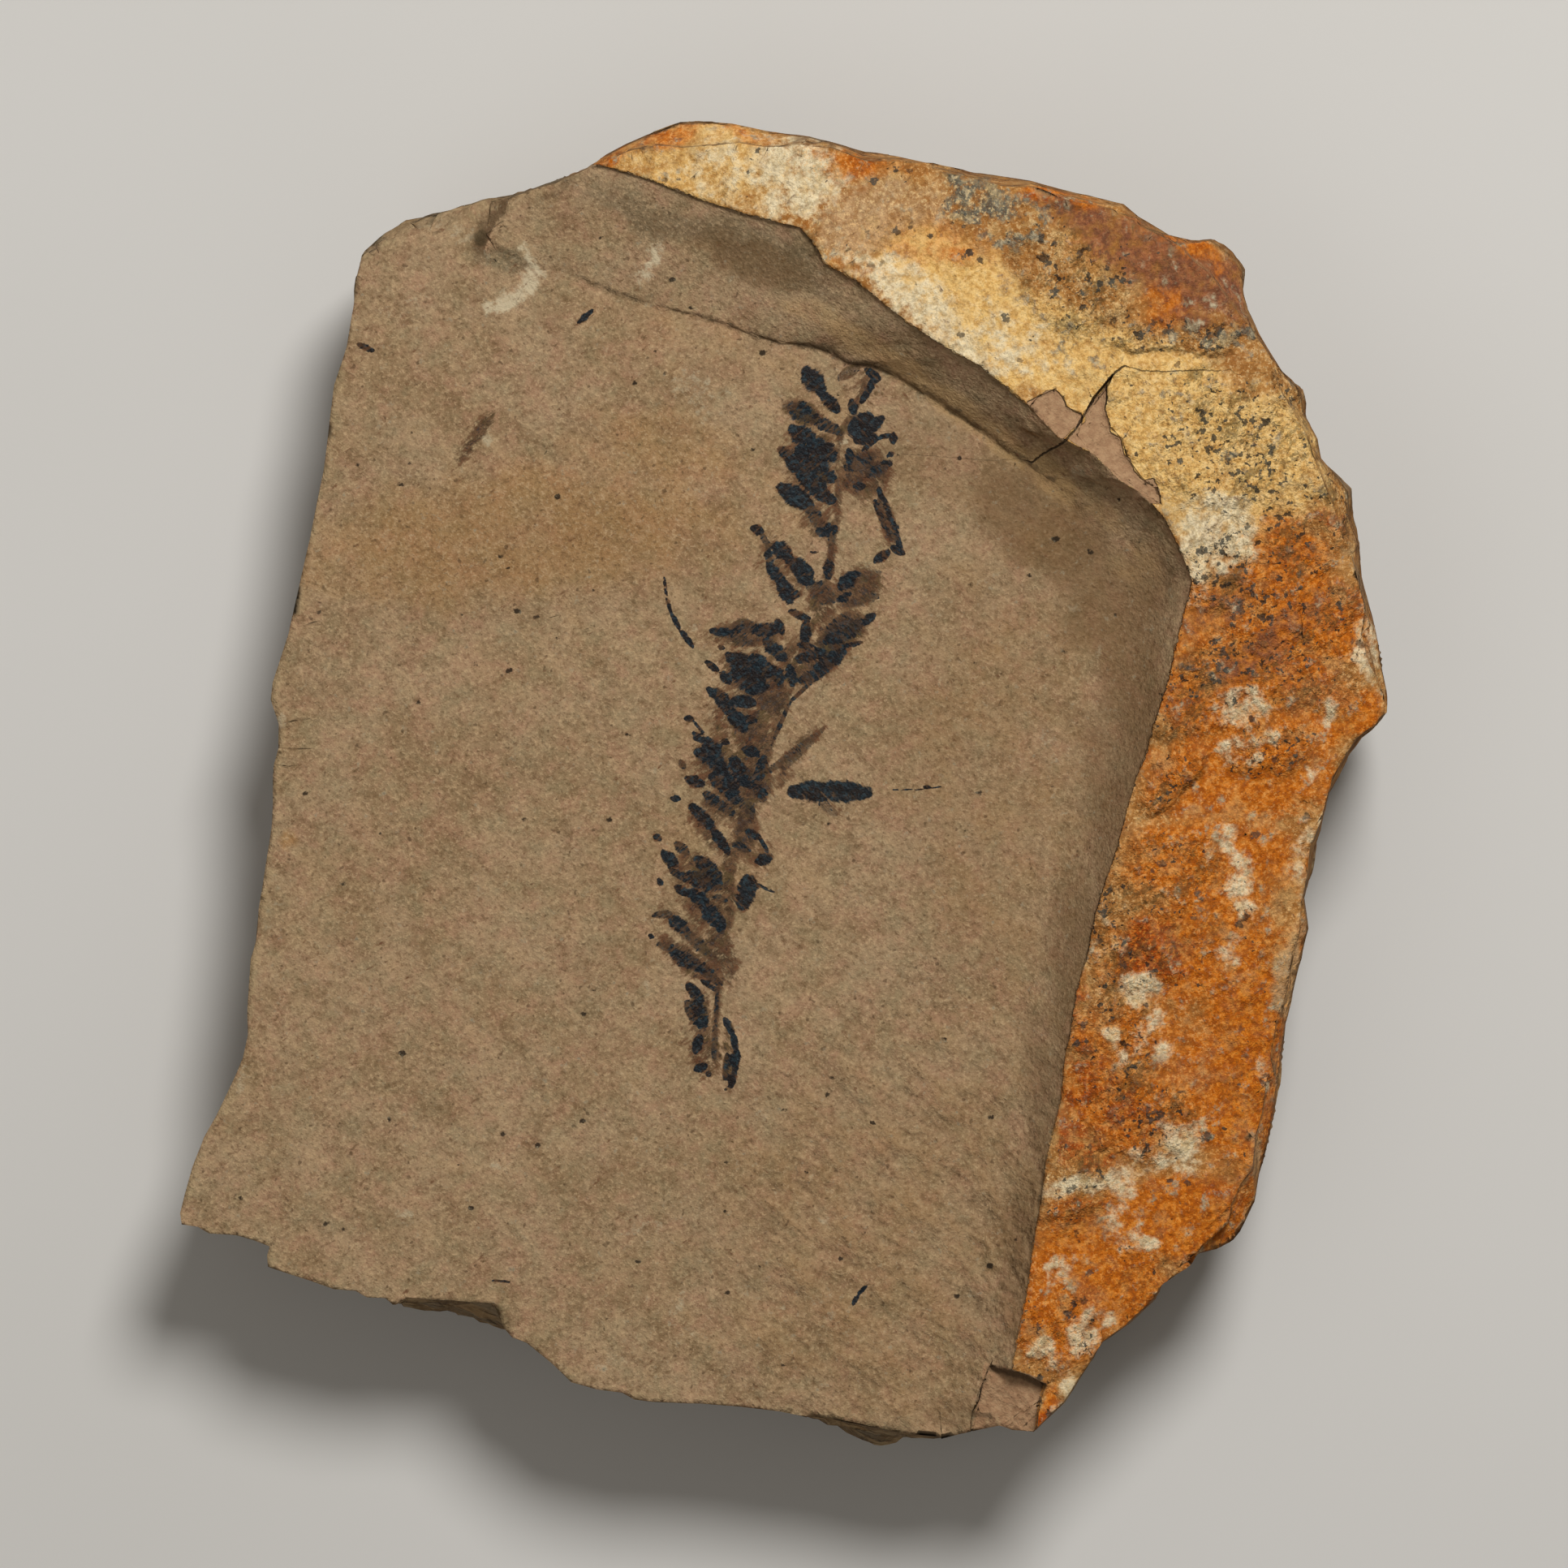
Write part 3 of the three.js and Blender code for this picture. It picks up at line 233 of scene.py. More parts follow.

# ---- stains on the stone, and painted shade and light: across, down, half width across, half height down, turn in degrees, strength

STAINS = {
    "cream": [
        (975, 215, 62, 52, 10, 1), (895, 215, 60, 40, -20, 0.55), (1150, 390, 120, 34, -38, 0.95),
        (1100, 350, 70, 26, -35, 0.8), (1240, 420, 70, 42, -30, 0.6), (1500, 650, 58, 44, -30, 1),
        (1470, 690, 34, 26, 0, 0.9), (1530, 870, 44, 26, 10, 0.6), (1518, 925, 20, 20, 0, 0.75),
        (1545, 940, 14, 12, 0, 0.9), (1632, 867, 9, 15, 20, 0.9), (1630, 890, 10, 8, 0, 0.8),
        (1518, 1040, 12, 30, 0, 0.7), (1528, 1085, 20, 38, 0, 0.85), (1512, 1170, 14, 24, -25, 0.7),
        (1562, 905, 14, 20, 0, 0.4), (1405, 1215, 22, 26, 10, 0.95), (1372, 1272, 13, 12, 0, 0.9),
        (1380, 1290, 12, 12, 0, 0.8), (1412, 1275, 18, 22, 0, 0.55), (1435, 1290, 16, 20, 0, 0.65),
        (1432, 1250, 14, 10, 0, 0.5), (1452, 1410, 32, 34, 15, 0.95), (1410, 1420, 30, 18, 0, 0.7),
        (1380, 1455, 22, 18, 0, 0.95), (1345, 1458, 22, 12, 0, 0.75), (1305, 1455, 26, 16, 20, 0.8),
        (1392, 1500, 14, 40, 20, 0.5), (1408, 1530, 24, 14, 10, 0.8), (1300, 1555, 18, 18, 0, 0.7),
        (1360, 1620, 14, 10, 0, 0.6), (1330, 1650, 24, 30, -30, 0.85), (1278, 1665, 12, 20, -10, 0.85),
        (1310, 1720, 16, 30, -35, 0.8), (1487, 1385, 12, 16, 0, 0.5), (1480, 1050, 12, 7, 0, 0.7),
        (1612, 955, 9, 9, 0, 0.7), (1570, 1330, 12, 22, 10, 0.6), (1468, 730, 14, 16, 0, 0.55),
        (1692, 800, 11, 42, 8, 0.8), (1675, 770, 12, 16, 0, 0.5), (1640, 720, 12, 10, 0, 0.4),
        (1360, 1150, 26, 20, 0, 0.4), (1640, 1000, 8, 30, -12, 0.7), (1612, 1050, 12, 44, -10, 0.55),
    ],
    "yellow": [
        (870, 200, 130, 60, -10, 0.6), (1180, 360, 130, 60, -35, 0.9), (1290, 420, 90, 60, -25, 0.9),
        (1420, 520, 150, 90, -40, 1), (1560, 560, 90, 70, -40, 0.85), (1340, 1680, 40, 40, -40, 0.5),
        (1500, 600, 120, 70, -40, 0.8), (1120, 235, 60, 20, -12, 0.4), (1540, 880, 60, 40, 0, 0.35),
        (1455, 1340, 22, 20, 0, 0.5), (1380, 600, 60, 30, -40, 0.6), (1350, 320, 44, 30, -20, 0.4),
        (1215, 450, 60, 40, -35, 1), (1300, 460, 60, 30, -20, 0.9), (1470, 740, 40, 60, 20, 0.5),
    ],
    "pink": [
        (1060, 275, 62, 44, -20, 0.9), (1120, 255, 60, 34, -12, 0.7), (1180, 240, 50, 26, -12, 0.5),
        (1590, 1200, 16, 60, -8, 0.9), (1575, 1235, 16, 24, 0, 0.9), (1608, 1140, 14, 20, 0, 0.5),
        (1548, 1420, 14, 26, 12, 0.8), (1668, 660, 30, 40, 0, 0.35), (1460, 750, 26, 40, 15, 0.3),
        (1600, 860, 60, 40, -20, 0.25), (1610, 1080, 14, 20, 0, 0.6), (1330, 1690, 30, 20, 0, 0.25),
    ],
    "orange": [
        (750, 195, 34, 20, 25, 0.8), (820, 165, 60, 14, 25, 0.6), (900, 160, 80, 10, -10, 0.4),
        (1035, 200, 60, 20, -16, 0.7), (1090, 205, 50, 16, -10, 0.6), (1130, 300, 90, 34, -10, 0.5),
        (1065, 330, 50, 14, -20, 0.4), (1310, 240, 50, 14, -14, 0.9), (1480, 310, 60, 20, -20, 0.9),
        (1440, 375, 40, 34, 0, 0.7), (1420, 275, 40, 16, -30, 0.6), (1590, 700, 80, 60, -30, 0.8),
        (1600, 790, 110, 60, 10, 0.8), (1500, 780, 70, 90, 30, 0.7), (1540, 860, 130, 80, 0, 0.75),
        (1520, 960, 130, 60, 0, 0.8), (1500, 1060, 130, 60, 0, 0.8), (1480, 1170, 130, 80, 0, 0.85),
        (1540, 1300, 70, 160, -8, 1), (1400, 1330, 110, 110, 0, 0.75), (1450, 1500, 110, 60, 0, 0.95),
        (1360, 1560, 110, 70, -30, 0.9), (1300, 1640, 70, 60, -30, 0.8), (1660, 890, 50, 26, 30, 0.9),
        (1625, 960, 26, 40, 20, 0.7), (1285, 1735, 14, 36, -10, 1), (1290, 1600, 40, 50, 0, 0.7),
    ],
    "rust": [
        (1417, 1165, 32, 44, -15, 1.3), (1400, 1140, 26, 20, 0, 0.8), (1450, 1200, 30, 20, -30, 0.7),
        (1330, 1330, 26, 60, -10, 0.6), (1370, 1360, 60, 40, -20, 0.7), (1335, 1415, 40, 22, 0, 0.8),
        (1560, 1310, 26, 60, 0, 0.45), (1500, 1460, 40, 14, 5, 0.6), (1540, 1480, 20, 20, 0, 0.5),
        (1640, 650, 34, 20, -30, 0.6), (1650, 750, 40, 40, 0, 0.5), (1620, 830, 50, 20, 0, 0.4),
        (1550, 810, 50, 24, 30, 0.5), (1450, 380, 30, 30, 0, 0.6), (1375, 300, 60, 40, -10, 0.5),
        (1300, 250, 60, 14, -14, 0.6), (1325, 1230, 22, 40, -8, 0.7), (1350, 1490, 44, 22, -20, 0.5),
        (1530, 1215, 40, 40, 0, 0.4), (1590, 1010, 40, 30, 0, 0.4), (1285, 1750, 14, 22, 0, 0.8),
        (1270, 1575, 14, 50, -6, 0.5), (1370, 1550, 50, 18, -25, 0.4),
        (1500, 1000, 60, 20, 0, 0.3), (1535, 1050, 12, 8, 0, 0.8), (1450, 1230, 40, 20, 0, 0.4),
    ],
    "umber": [
        (1500, 345, 60, 40, 10, 1), (1420, 320, 66, 46, -20, 1), (1350, 275, 70, 26, -14, 0.9),
        (1470, 390, 50, 16, 0, 0.8), (1540, 385, 30, 40, -20, 0.8), (1270, 250, 50, 12, -20, 0.5),
        (1560, 790, 90, 26, 40, 0.75), (1500, 740, 60, 24, 50, 0.7), (1590, 700, 40, 16, 45, 0.5),
        (1530, 830, 50, 22, 35, 0.5), (1360, 440, 30, 16, 0, 0.3), (1250, 330, 40, 60, 10, 0.3),
        (1345, 1300, 20, 40, 0, 0.3), (1375, 1345, 44, 30, 0, 0.35),
        (1465, 870, 34, 26, 0, 0.5), (1500, 1450, 40, 9, 5, 0.5),
    ],
    "slate": [
        (1210, 250, 46, 34, -20, 0.85), (1270, 262, 46, 18, -15, 0.6), (1240, 290, 50, 26, -10, 0.5),
        (1235, 310, 20, 14, 0, 0.5), (1295, 395, 14, 12, 0, 0.5), (1310, 425, 24, 14, 20, 0.55),
        (1350, 430, 14, 12, 0, 0.4), (1520, 415, 46, 12, -5, 0.8), (1435, 485, 12, 18, 0, 0.5),
        (1420, 295, 22, 10, -20, 0.7), (1340, 335, 30, 30, -20, 0.3), (1440, 405, 50, 14, 0, 0.45),
        (1520, 560, 30, 10, 0, 0.35), (1465, 825, 20, 12, 0, 0.5), (1480, 805, 14, 14, 0, 0.4),
    ],
    "speckles": [
        (1420, 500, 80, 50, -30, 0.4), (1510, 555, 110, 80, -40, 0.9), (1590, 640, 80, 80, -30, 0.85),
        (1530, 700, 80, 60, 0, 0.9), (1560, 800, 110, 70, 30, 0.7), (1460, 870, 60, 50, 0, 0.8),
        (1560, 920, 60, 40, 0, 0.75), (1430, 1080, 80, 70, 0, 0.55), (1390, 1180, 60, 50, 0, 0.65),
        (1370, 1290, 60, 90, 0, 0.7), (1410, 1380, 70, 50, 0, 0.75), (1330, 1460, 50, 60, 0, 0.6),
        (1300, 1640, 50, 60, 0, 0.55), (1430, 1560, 80, 60, 0, 0.35), (1520, 1150, 90, 120, 0, 0.35),
        (1330, 350, 70, 60, -20, 0.75), (1290, 310, 60, 40, 0, 0.6), (1450, 410, 90, 24, 0, 0.9),
        (1430, 320, 70, 30, -15, 0.3), (1230, 270, 60, 40, -15, 0.35), (1120, 290, 80, 30, 0, 0.2),
        (1600, 480, 30, 60, -30, 0.7), (1530, 1320, 70, 130, 0, 0.3), (1240, 400, 60, 50, 0, 0.15),
        (1540, 760, 110, 26, 50, 1), (1500, 820, 60, 20, 50, 0.9), (1640, 760, 50, 24, 50, 0.9),
        (1440, 960, 50, 24, 40, 0.8), (1370, 1130, 40, 40, 0, 0.8), (1640, 830, 60, 50, 0, 0.6),
    ],
    "ochre": [
        (650, 660, 280, 90, 5, 0.75), (470, 690, 130, 60, 0, 0.6), (800, 560, 130, 60, 0, 0.6),
        (940, 620, 60, 50, 0, 0.4), (354, 1035, 12, 14, -30, 1), (860, 420, 140, 50, -15, 0.35),
        (1290, 670, 60, 50, 0, 0.4), (930, 1030, 40, 50, 0, 0.3), (880, 1060, 60, 110, 0, 0.35),
        (690, 760, 90, 30, 0, 0.2), (1010, 560, 70, 90, 0, 0.3), (1160, 1450, 110, 60, -30, 0.2),
        (1250, 950, 130, 260, 0, 0.4), (1230, 1300, 80, 160, 0, 0.3), (1100, 1540, 240, 220, 0, 0.4),
    ],
    "pale": [
        (855, 480, 30, 22, -20, 0.55), (870, 510, 14, 12, 0, 0.5), (601, 541, 11, 7, 0, 0.95),
        (1326, 583, 11, 9, 0, 0.85), (1325, 750, 5, 5, 0, 0.9), (1355, 800, 11, 8, 20, 0.75),
        (1288, 915, 26, 12, -20, 0.45), (1305, 938, 20, 10, 20, 0.4), (795, 1208, 11, 7, 0, 0.85),
        (495, 1493, 16, 6, 0, 0.9), (752, 1678, 24, 12, -10, 0.45), (618, 1438, 20, 6, 8, 0.6),
        (790, 1515, 26, 10, 0, 0.5), (946, 1375, 12, 12, 0, 0.5), (837, 1612, 16, 20, 0, 0.5),
        (857, 1645, 8, 7, 0, 0.7), (458, 1280, 7, 18, 0, 0.45), (508, 1348, 10, 5, 0, 0.5),
        (296, 1335, 6, 24, -12, 0.7), (348, 888, 8, 9, 0, 0.7), (855, 775, 7, 6, 0, 0.7),
        (900, 485, 8, 6, 0, 0.5), (575, 288, 20, 10, 0, 0.7), (540, 280, 30, 8, 12, 0.3),
        (710, 290, 5, 4, 0, 0.7), (692, 342, 5, 5, 0, 0.8),
        (1012, 1508, 6, 5, 0, 0.8), (967, 1615, 8, 8, 0, 0.5), (1020, 1615, 24, 20, -40, 0.4),
        (1147, 428, 4, 4, 0, 0.8), (915, 340, 14, 8, 30, 0.4),
        (1000, 540, 10, 8, 0, 0.3), (1042, 545, 7, 4, 20, 1), (675, 1440, 12, 6, 40, 0.4),
        (500, 380, 60, 40, 0, 0.2), (1245, 1730, 40, 30, 0, 0.6), (1100, 1600, 90, 60, 0, 0.15),
    ],
    # grey ovals: painted shade on the slopes and steps near the crust's edge at the upper left, and a faint
    # grey tone elsewhere
    "ash_grey_and_shade": [
        (820, 270, 110, 26, -18, 0.75), (940, 310, 90, 28, -22, 0.8), (620, 318, 40, 12, -10, 0.8),
        (700, 250, 60, 30, 20, 0.35), (760, 330, 80, 26, -10, 0.3), (1000, 350, 60, 20, -30, 0.6),
        (560, 270, 60, 14, 12, 0.35), (720, 470, 120, 60, 0, 0.12), (1330, 740, 100, 60, 0, 0.15),
        (780, 1480, 120, 70, 0, 0.25), (1060, 380, 60, 18, -30, 0.3), (450, 500, 60, 80, 0, 0.12),
    ],
    "film": [
        (998, 570, 36, 50, 0, 0.6), (990, 508, 30, 14, -30, 0.8), (1066, 582, 36, 32, 20, 0.85),
        (1066, 476, 24, 24, 20, 0.4), (1068, 526, 24, 18, 30, 0.5), (1092, 645, 10, 34, 20, 0.6),
        (1010, 640, 24, 22, 0, 0.6), (1025, 675, 7, 30, 0, 0.6), (1058, 724, 36, 24, 25, 0.8),
        (1012, 742, 22, 34, 0, 0.75), (1036, 782, 46, 22, 38, 0.95), (1020, 815, 44, 14, 38, 0.8),
        (985, 815, 26, 32, 0, 0.75), (970, 706, 36, 24, -45, 0.5), (952, 690, 16, 36, 15, 0.4),
        (918, 782, 44, 16, 0, 0.85), (926, 834, 44, 36, -30, 0.7), (950, 860, 24, 30, 0, 0.9),
        (905, 885, 34, 36, 0, 0.6), (928, 910, 24, 40, 0, 0.85), (890, 945, 44, 34, -20, 0.7),
        (930, 962, 24, 36, -10, 0.85), (900, 990, 40, 26, 0, 0.7), (918, 1020, 16, 34, 0, 0.9),
        (872, 1024, 34, 13, -45, 0.7), (930, 1048, 24, 20, 0, 0.5), (982, 924, 44, 11, 40, 0.6),
        (962, 962, 22, 9, 40, 0.6), (858, 1076, 38, 26, -20, 0.7), (866, 1118, 30, 26, -30, 0.7),
        (898, 1090, 9, 60, 0, 0.8), (848, 1148, 48, 13, -38, 0.6), (846, 1180, 46, 14, -38, 0.75),
        (882, 1170, 22, 36, 0, 0.8), (898, 1180, 13, 34, 10, 0.75), (860, 1250, 16, 36, 0, 0.6),
        (868, 1295, 18, 34, 0, 0.7), (840, 1275, 9, 14, 0, 0.5), (899, 1300, 9, 40, 0, 0.6),
        (584, 538, 10, 46, -37, 0.75), (1025, 997, 18, 8, -20, 0.3), (720, 390, 14, 8, 30, 0.4),
    ],
    # painted shade along the foot of the crust's rise and under the steps, and a broad darker tone over
    # parts of the face
    "shade_and_dark_tone": [
        (1290, 650, 120, 60, -40, 1), (1380, 740, 60, 90, -60, 0.9), (1400, 860, 44, 120, 10, 0.85),
        (1375, 1000, 44, 140, 10, 0.75), (1335, 1200, 44, 160, 8, 0.7), (1298, 1400, 44, 160, 8, 0.7),
        (1268, 1580, 40, 120, 5, 0.7), (1240, 950, 170, 300, 0, 0.35), (1160, 560, 90, 50, -35, 0.5),
        (930, 318, 80, 26, -22, 0.9), (860, 285, 110, 24, -20, 0.4), (640, 680, 260, 90, 5, 0.3),
        (1130, 1500, 260, 260, 0, 0.3), (470, 900, 200, 500, 0, 0.1), (1180, 1745, 60, 20, 0, 0.6),
    ],
    "coarse": [
        (1130, 1520, 240, 300, 0, 1), (1010, 1320, 120, 120, 0, 0.6), (1180, 1250, 90, 200, 0, 0.5),
    ],
    # painted shade: dark ovals where shadow falls in the upper break, on the riser under the crust's lip
    # and in the notches of the lower edge
    "shade": [
        (590, 290, 9, 11, 0, 1.5), (570, 262, 34, 12, 10, 0.35), (622, 312, 34, 10, -12, 0.5),
        (680, 322, 50, 14, -15, 0.35),
        (984, 296, 28, 18, -35, 0.7), (1090, 416, 80, 12, -35, 0.3), (1190, 478, 90, 14, -35, 0.35),
        (1290, 560, 60, 18, -40, 0.3), (1410, 655, 30, 50, -50, 0.4), (1448, 710, 18, 40, 0, 0.4),
        (1290, 650, 90, 50, -40, 0.2),
        (560, 1618, 64, 16, 0, 1.2), (610, 1628, 20, 14, 0, 1), (1078, 1764, 70, 12, -10, 0.7),
    ],
    # painted light: a paler band on the riser under the crust's lip, lifting the riser out of its shade
    "painted_riser_light": [
        (1000, 385, 50, 14, -14, 0.6), (1060, 420, 50, 16, -30, 0.9), (1118, 458, 46, 16, -33, 1),
        (1176, 500, 50, 16, -37, 1), (1235, 545, 50, 18, -40, 1), (1296, 586, 44, 18, -42, 0.9),
        (1356, 626, 44, 16, -46, 0.6), (1400, 690, 30, 40, -60, 0.5),
    ],
}

FINE_STAINS = ("pale", "shade", "film", "painted_riser_light")

# Lines drawn on the stone: points, width, strength.
SCUFFS = [
    ([(643, 300), (653, 318)], 5, 0.8), ([(653, 318), (656, 338)], 8, 0.9),
    ([(656, 338), (642, 361)], 13, 1), ([(642, 361), (622, 372)], 14, 1),
    ([(622, 372), (602, 377)], 11, 0.9), ([(804, 299), (811, 308)], 6, 0.9),
    ([(811, 308), (809, 318)], 9, 1), ([(799, 327), (783, 340)], 8, 0.8),
]
# Dark lines along the feet of steps, under the crust's edge, over the foot chip and along cracks: painted
# shade, with some dirt.
SHADE_AND_GRIME_LINES = [
    ([(700, 328), (722, 342), (751, 355), (787, 368)], 3, 0.6),
    ([(795, 366), (828, 378), (850, 384), (890, 396), (930, 412), (965, 422)], 3, 0.65),
    ([(985, 424), (1020, 428), (1045, 446), (1085, 450)], 7, 0.9),
    ([(1085, 450), (1129, 474), (1180, 507), (1228, 540), (1262, 565), (1300, 592)], 5, 0.8),
    ([(746, 205), (774, 213), (802, 222), (835, 235), (868, 248), (896, 257), (924, 266)], 3, 0.4),
    ([(1433, 857), (1420, 895), (1412, 926), (1399, 960)], 3, 0.5),
    ([(1364, 1079), (1349, 1125), (1338, 1182)], 3, 0.6),
    ([(1326, 1220), (1317, 1280), (1307, 1353), (1297, 1395)], 3, 0.5),
    ([(1288, 1430), (1282, 1480), (1272, 1537)], 4, 0.7),
    ([(1222, 1686), (1246, 1691), (1268, 1698), (1286, 1707)], 6, 1.2),
    ([(1200, 1742), (1221, 1748)], 4, 1), ([(1218, 1690), (1208, 1715), (1205, 1735)], 3, 0.6),
    ([(1270, 245), (1290, 250), (1310, 256), (1330, 256)], 4, 0.9),
    ([(960, 1400), (985, 1450), (1000, 1490), (1010, 1500)], 2, 0.4),
]
CRACK = [
    (1108, 559), (1145, 561), (1180, 564), (1218, 567), (1257, 565), (1272, 569), (1287, 558),
    (1310, 546), (1325, 529), (1337, 508), (1353, 484), (1371, 462), (1384, 452), (1406, 458),
    (1432, 459), (1480, 457), (1500, 458),
]
WIDE_CRACK = (1272, 1384)  # across, the part of it that is wide open
CRUST_FLAKES = [
    [
        (1262, 500), (1270, 494), (1280, 489), (1290, 482), (1301, 481), (1308, 490), (1313, 502),
        (1322, 507), (1332, 511), (1334, 520), (1322, 528), (1311, 540), (1300, 550), (1262, 515),
        (1262, 500),
    ],
    [
        (1337, 506), (1350, 490), (1363, 475), (1362, 490), (1361, 505), (1366, 520), (1367, 533),
        (1380, 541), (1384, 560), (1391, 566), (1396, 580), (1408, 592), (1420, 590), (1426, 604),
        (1430, 622), (1410, 620), (1364, 582), (1345, 562), (1316, 542), (1326, 528), (1337, 520),
        (1337, 506),
    ],
]
FOOT_CHIP = [
    (1214, 1680), (1246, 1687), (1268, 1693), (1286, 1704), (1280, 1722), (1277, 1741), (1271, 1810),
    (1190, 1810), (1214, 1680),
]
# Small beds of the crust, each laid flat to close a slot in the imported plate.
CRUST_BEDS = [
    [(1528, 1246), (1580, 1236), (1584, 1262), (1536, 1288), (1528, 1246)],
    [(1476, 350), (1500, 350), (1500, 378), (1476, 378), (1476, 350)],
    [(1632, 642), (1660, 642), (1660, 668), (1632, 668), (1632, 642)],
]
# Small steps in the upper break, with painted shade on their far side: points downwards, how far the
# painted shade reaches and how dark it is.
NICKS = [
    ([(633, 228), (626, 245), (624, 262), (614, 271), (606, 280), (598, 299)], 34, 1),
    ([(708, 206), (703, 220), (700, 231), (690, 240), (679, 245)], 26, 0.55),
]
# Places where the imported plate's hard steps are worn soft.
WORN_PLACES = (
    ((560, 236), (720, 345)), ((1255, 470), (1450, 635)), ((1655, 740), (1702, 860)),
    ((1190, 1672), (1222, 1800)),
)
CREASE = [(987, 281), (1010, 268), (1030, 250), (1071, 230), (1100, 200)]

# ---- the stone's mesh ----------------------------------------------------------------------------

WELD = 0.001 * MM
SHARP_EDGE = math.radians(32)
SHADED_SHARP = math.radians(55)
SPLIT_ROUNDS = 7
EASE_ROUNDS = 3
FINE_SPACING = 0.36 * MM  # along the edges of the marks
RIM_SPACING = 0.75 * MM  # beside sharp edges
FACE_SPACING = 1.3 * MM
CRUST_SPACING = 1.0 * MM
SIDE_SPACING = 1.1 * MM
BACK_SPACING = 2.6 * MM
BACK_TOP = 1 * MM
SIDE_TOP = 15.3 * MM  # below this the stone is broken beds
EASED_ABOVE = 13.5 * MM
TINY = 1e-9
FAR = 1e9

# In drawing units:
MARK_REACH = 40  # around a mark
FINE_BAND = (5, 20)  # off a mark's edge, where the mesh goes from fine to plain
CRUST_BAND = (-12, 0)  # before the crust's edge, where it goes from the face's spacing to the crust's
CRACK_CLEAR = 8
EDGE_CLEAR = 5
FLAKE_WALL = 2.5
FINE_LINE = 3
CRUMB_HALF = 1
SPOT_HALF = 2
FINE_DRIFT = 5
COARSE_DRIFT = 17

# Shares:
CRUMB_WIDTH = 0.7
NEEDLE_TAPER = 0.4  # how much narrower a needle's ends are
FAR_OUT = 4.0  # needle radii
STAIN_FADE = (-1.45, -0.55)  # in a stain's own half widths, from its rim inwards
STEEP = (0.3, 0.55)  # how level a surface is where it turns from broken side to face
UNDER = (0.4, 0.8)  # how far it faces down where it turns into the back
FACING = 0.35  # how far a triangle faces up or down to lie on the map's face or back

CRUMB_STROKES = [
    (across - CRUMB_HALF, down, across + CRUMB_HALF, down, CRUMB_WIDTH * width, left)
    for across, down, width, left in CRUMBS
]
SPOT_STROKES = [
    (across - SPOT_HALF, down, across + SPOT_HALF, down, width - SPOT_HALF, black)
    for across, down, width, black in CRUST_SPOTS
]
FINE_STROKES = [
    (*start, *end, FINE_LINE, 1)
    for line in (CRACK, *CRUST_FLAKES, FOOT_CHIP, *(line for line, _, _ in NICKS))
    for start, end in zip(line, line[1:])
]


def on_drawing(points):
    """Places on the drawing of points in metres."""
    across = points[:, 0] / UNIT + MIDDLE_ACROSS
    down = MIDDLE_DOWN - points[:, 1] / UNIT
    return np.stack((across, down), axis=1)


def line_strokes(points, width, strength):
    """The strokes that a line through several points is made of."""
    return [(*start, *end, width, strength) for start, end in zip(points, points[1:])]


def stroke_gap(places, stroke, taper=0.0):
    """Gap from each place to the outline of a stroke, below 0 inside it, and the stroke's radius
    there, which a taper makes smaller towards both ends. Both are in drawing units."""
    start = np.array(stroke[0:2], float)
    way = np.array(stroke[2:4], float) - start
    out = places - start
    share = np.clip(out @ way / max(way @ way, TINY), 0, 1)
    off = out - share[:, None] * way
    radius = stroke[4] / 2 * (1 - taper * np.abs(2 * share - 1) ** 3)
    return np.hypot(off[:, 0], off[:, 1]) - radius, radius


def nearest_stroke(places, strokes):
    """For each place the gap to the nearest of the strokes, up to MARK_REACH, and its strength."""
    gap = np.full(len(places), float(MARK_REACH))
    strength = np.zeros(len(places))
    for near, stroke in strokes_near(places, strokes):
        here, _ = stroke_gap(places[near], stroke)
        closer = here < gap[near]
        gap[near[closer]] = here[closer]
        strength[near[closer]] = stroke[5]
    return gap, strength


def strokes_near(places, strokes):
    """Each stroke with the numbers of the places within MARK_REACH of it."""
    for stroke in strokes:
        low = np.minimum(stroke[0:2], stroke[2:4]) - MARK_REACH
        high = np.maximum(stroke[0:2], stroke[2:4]) + MARK_REACH
        yield np.flatnonzero(np.all((places > low) & (places < high), axis=1)), stroke


def needle_cover(places, strokes):
    """For each place how far it is out from the middle of the nearest needle, 0 being its edge and
    -1 its middle, and how much char is left on that needle."""
    out = np.full(len(places), FAR_OUT)
    left = np.zeros(len(places))
    for near, stroke in strokes_near(places, strokes):
        gap, radius = stroke_gap(places[near], stroke, NEEDLE_TAPER)
        here = gap / radius
        closer = here < out[near]
        out[near[closer]] = here[closer]
        left[near[closer]] = stroke[5]
    return out, left


def line_cover(places, lines, soft):
    """How much of each place lines cover, fading out over a soft width in drawing units."""
    cover = np.zeros(len(places))
    for points, width, strength in lines:
        gap, _ = nearest_stroke(places, line_strokes(points, width, strength))
        cover = np.maximum(cover, strength * ease(-gap, -soft, soft * 0.3))
    return cover


def ease(values, low, high):
    share = np.clip((values - low) / (high - low), 0, 1)
    return share * share * (3 - 2 * share)


def stain_cover(places, ovals):
    """How strongly soft ovals stain each place, from 0 to 1."""
    cover = np.zeros(len(places))
    for across, down, half_across, half_down, turn, strength in ovals:
        out = places - (across, down)
        c, s = math.cos(math.radians(turn)), math.sin(math.radians(turn))
        along = (out[:, 0] * c - out[:, 1] * s) / half_across
        over = (out[:, 0] * s + out[:, 1] * c) / half_down
        cover = np.maximum(cover, strength * ease(-np.hypot(along, over), *STAIN_FADE))
    return cover


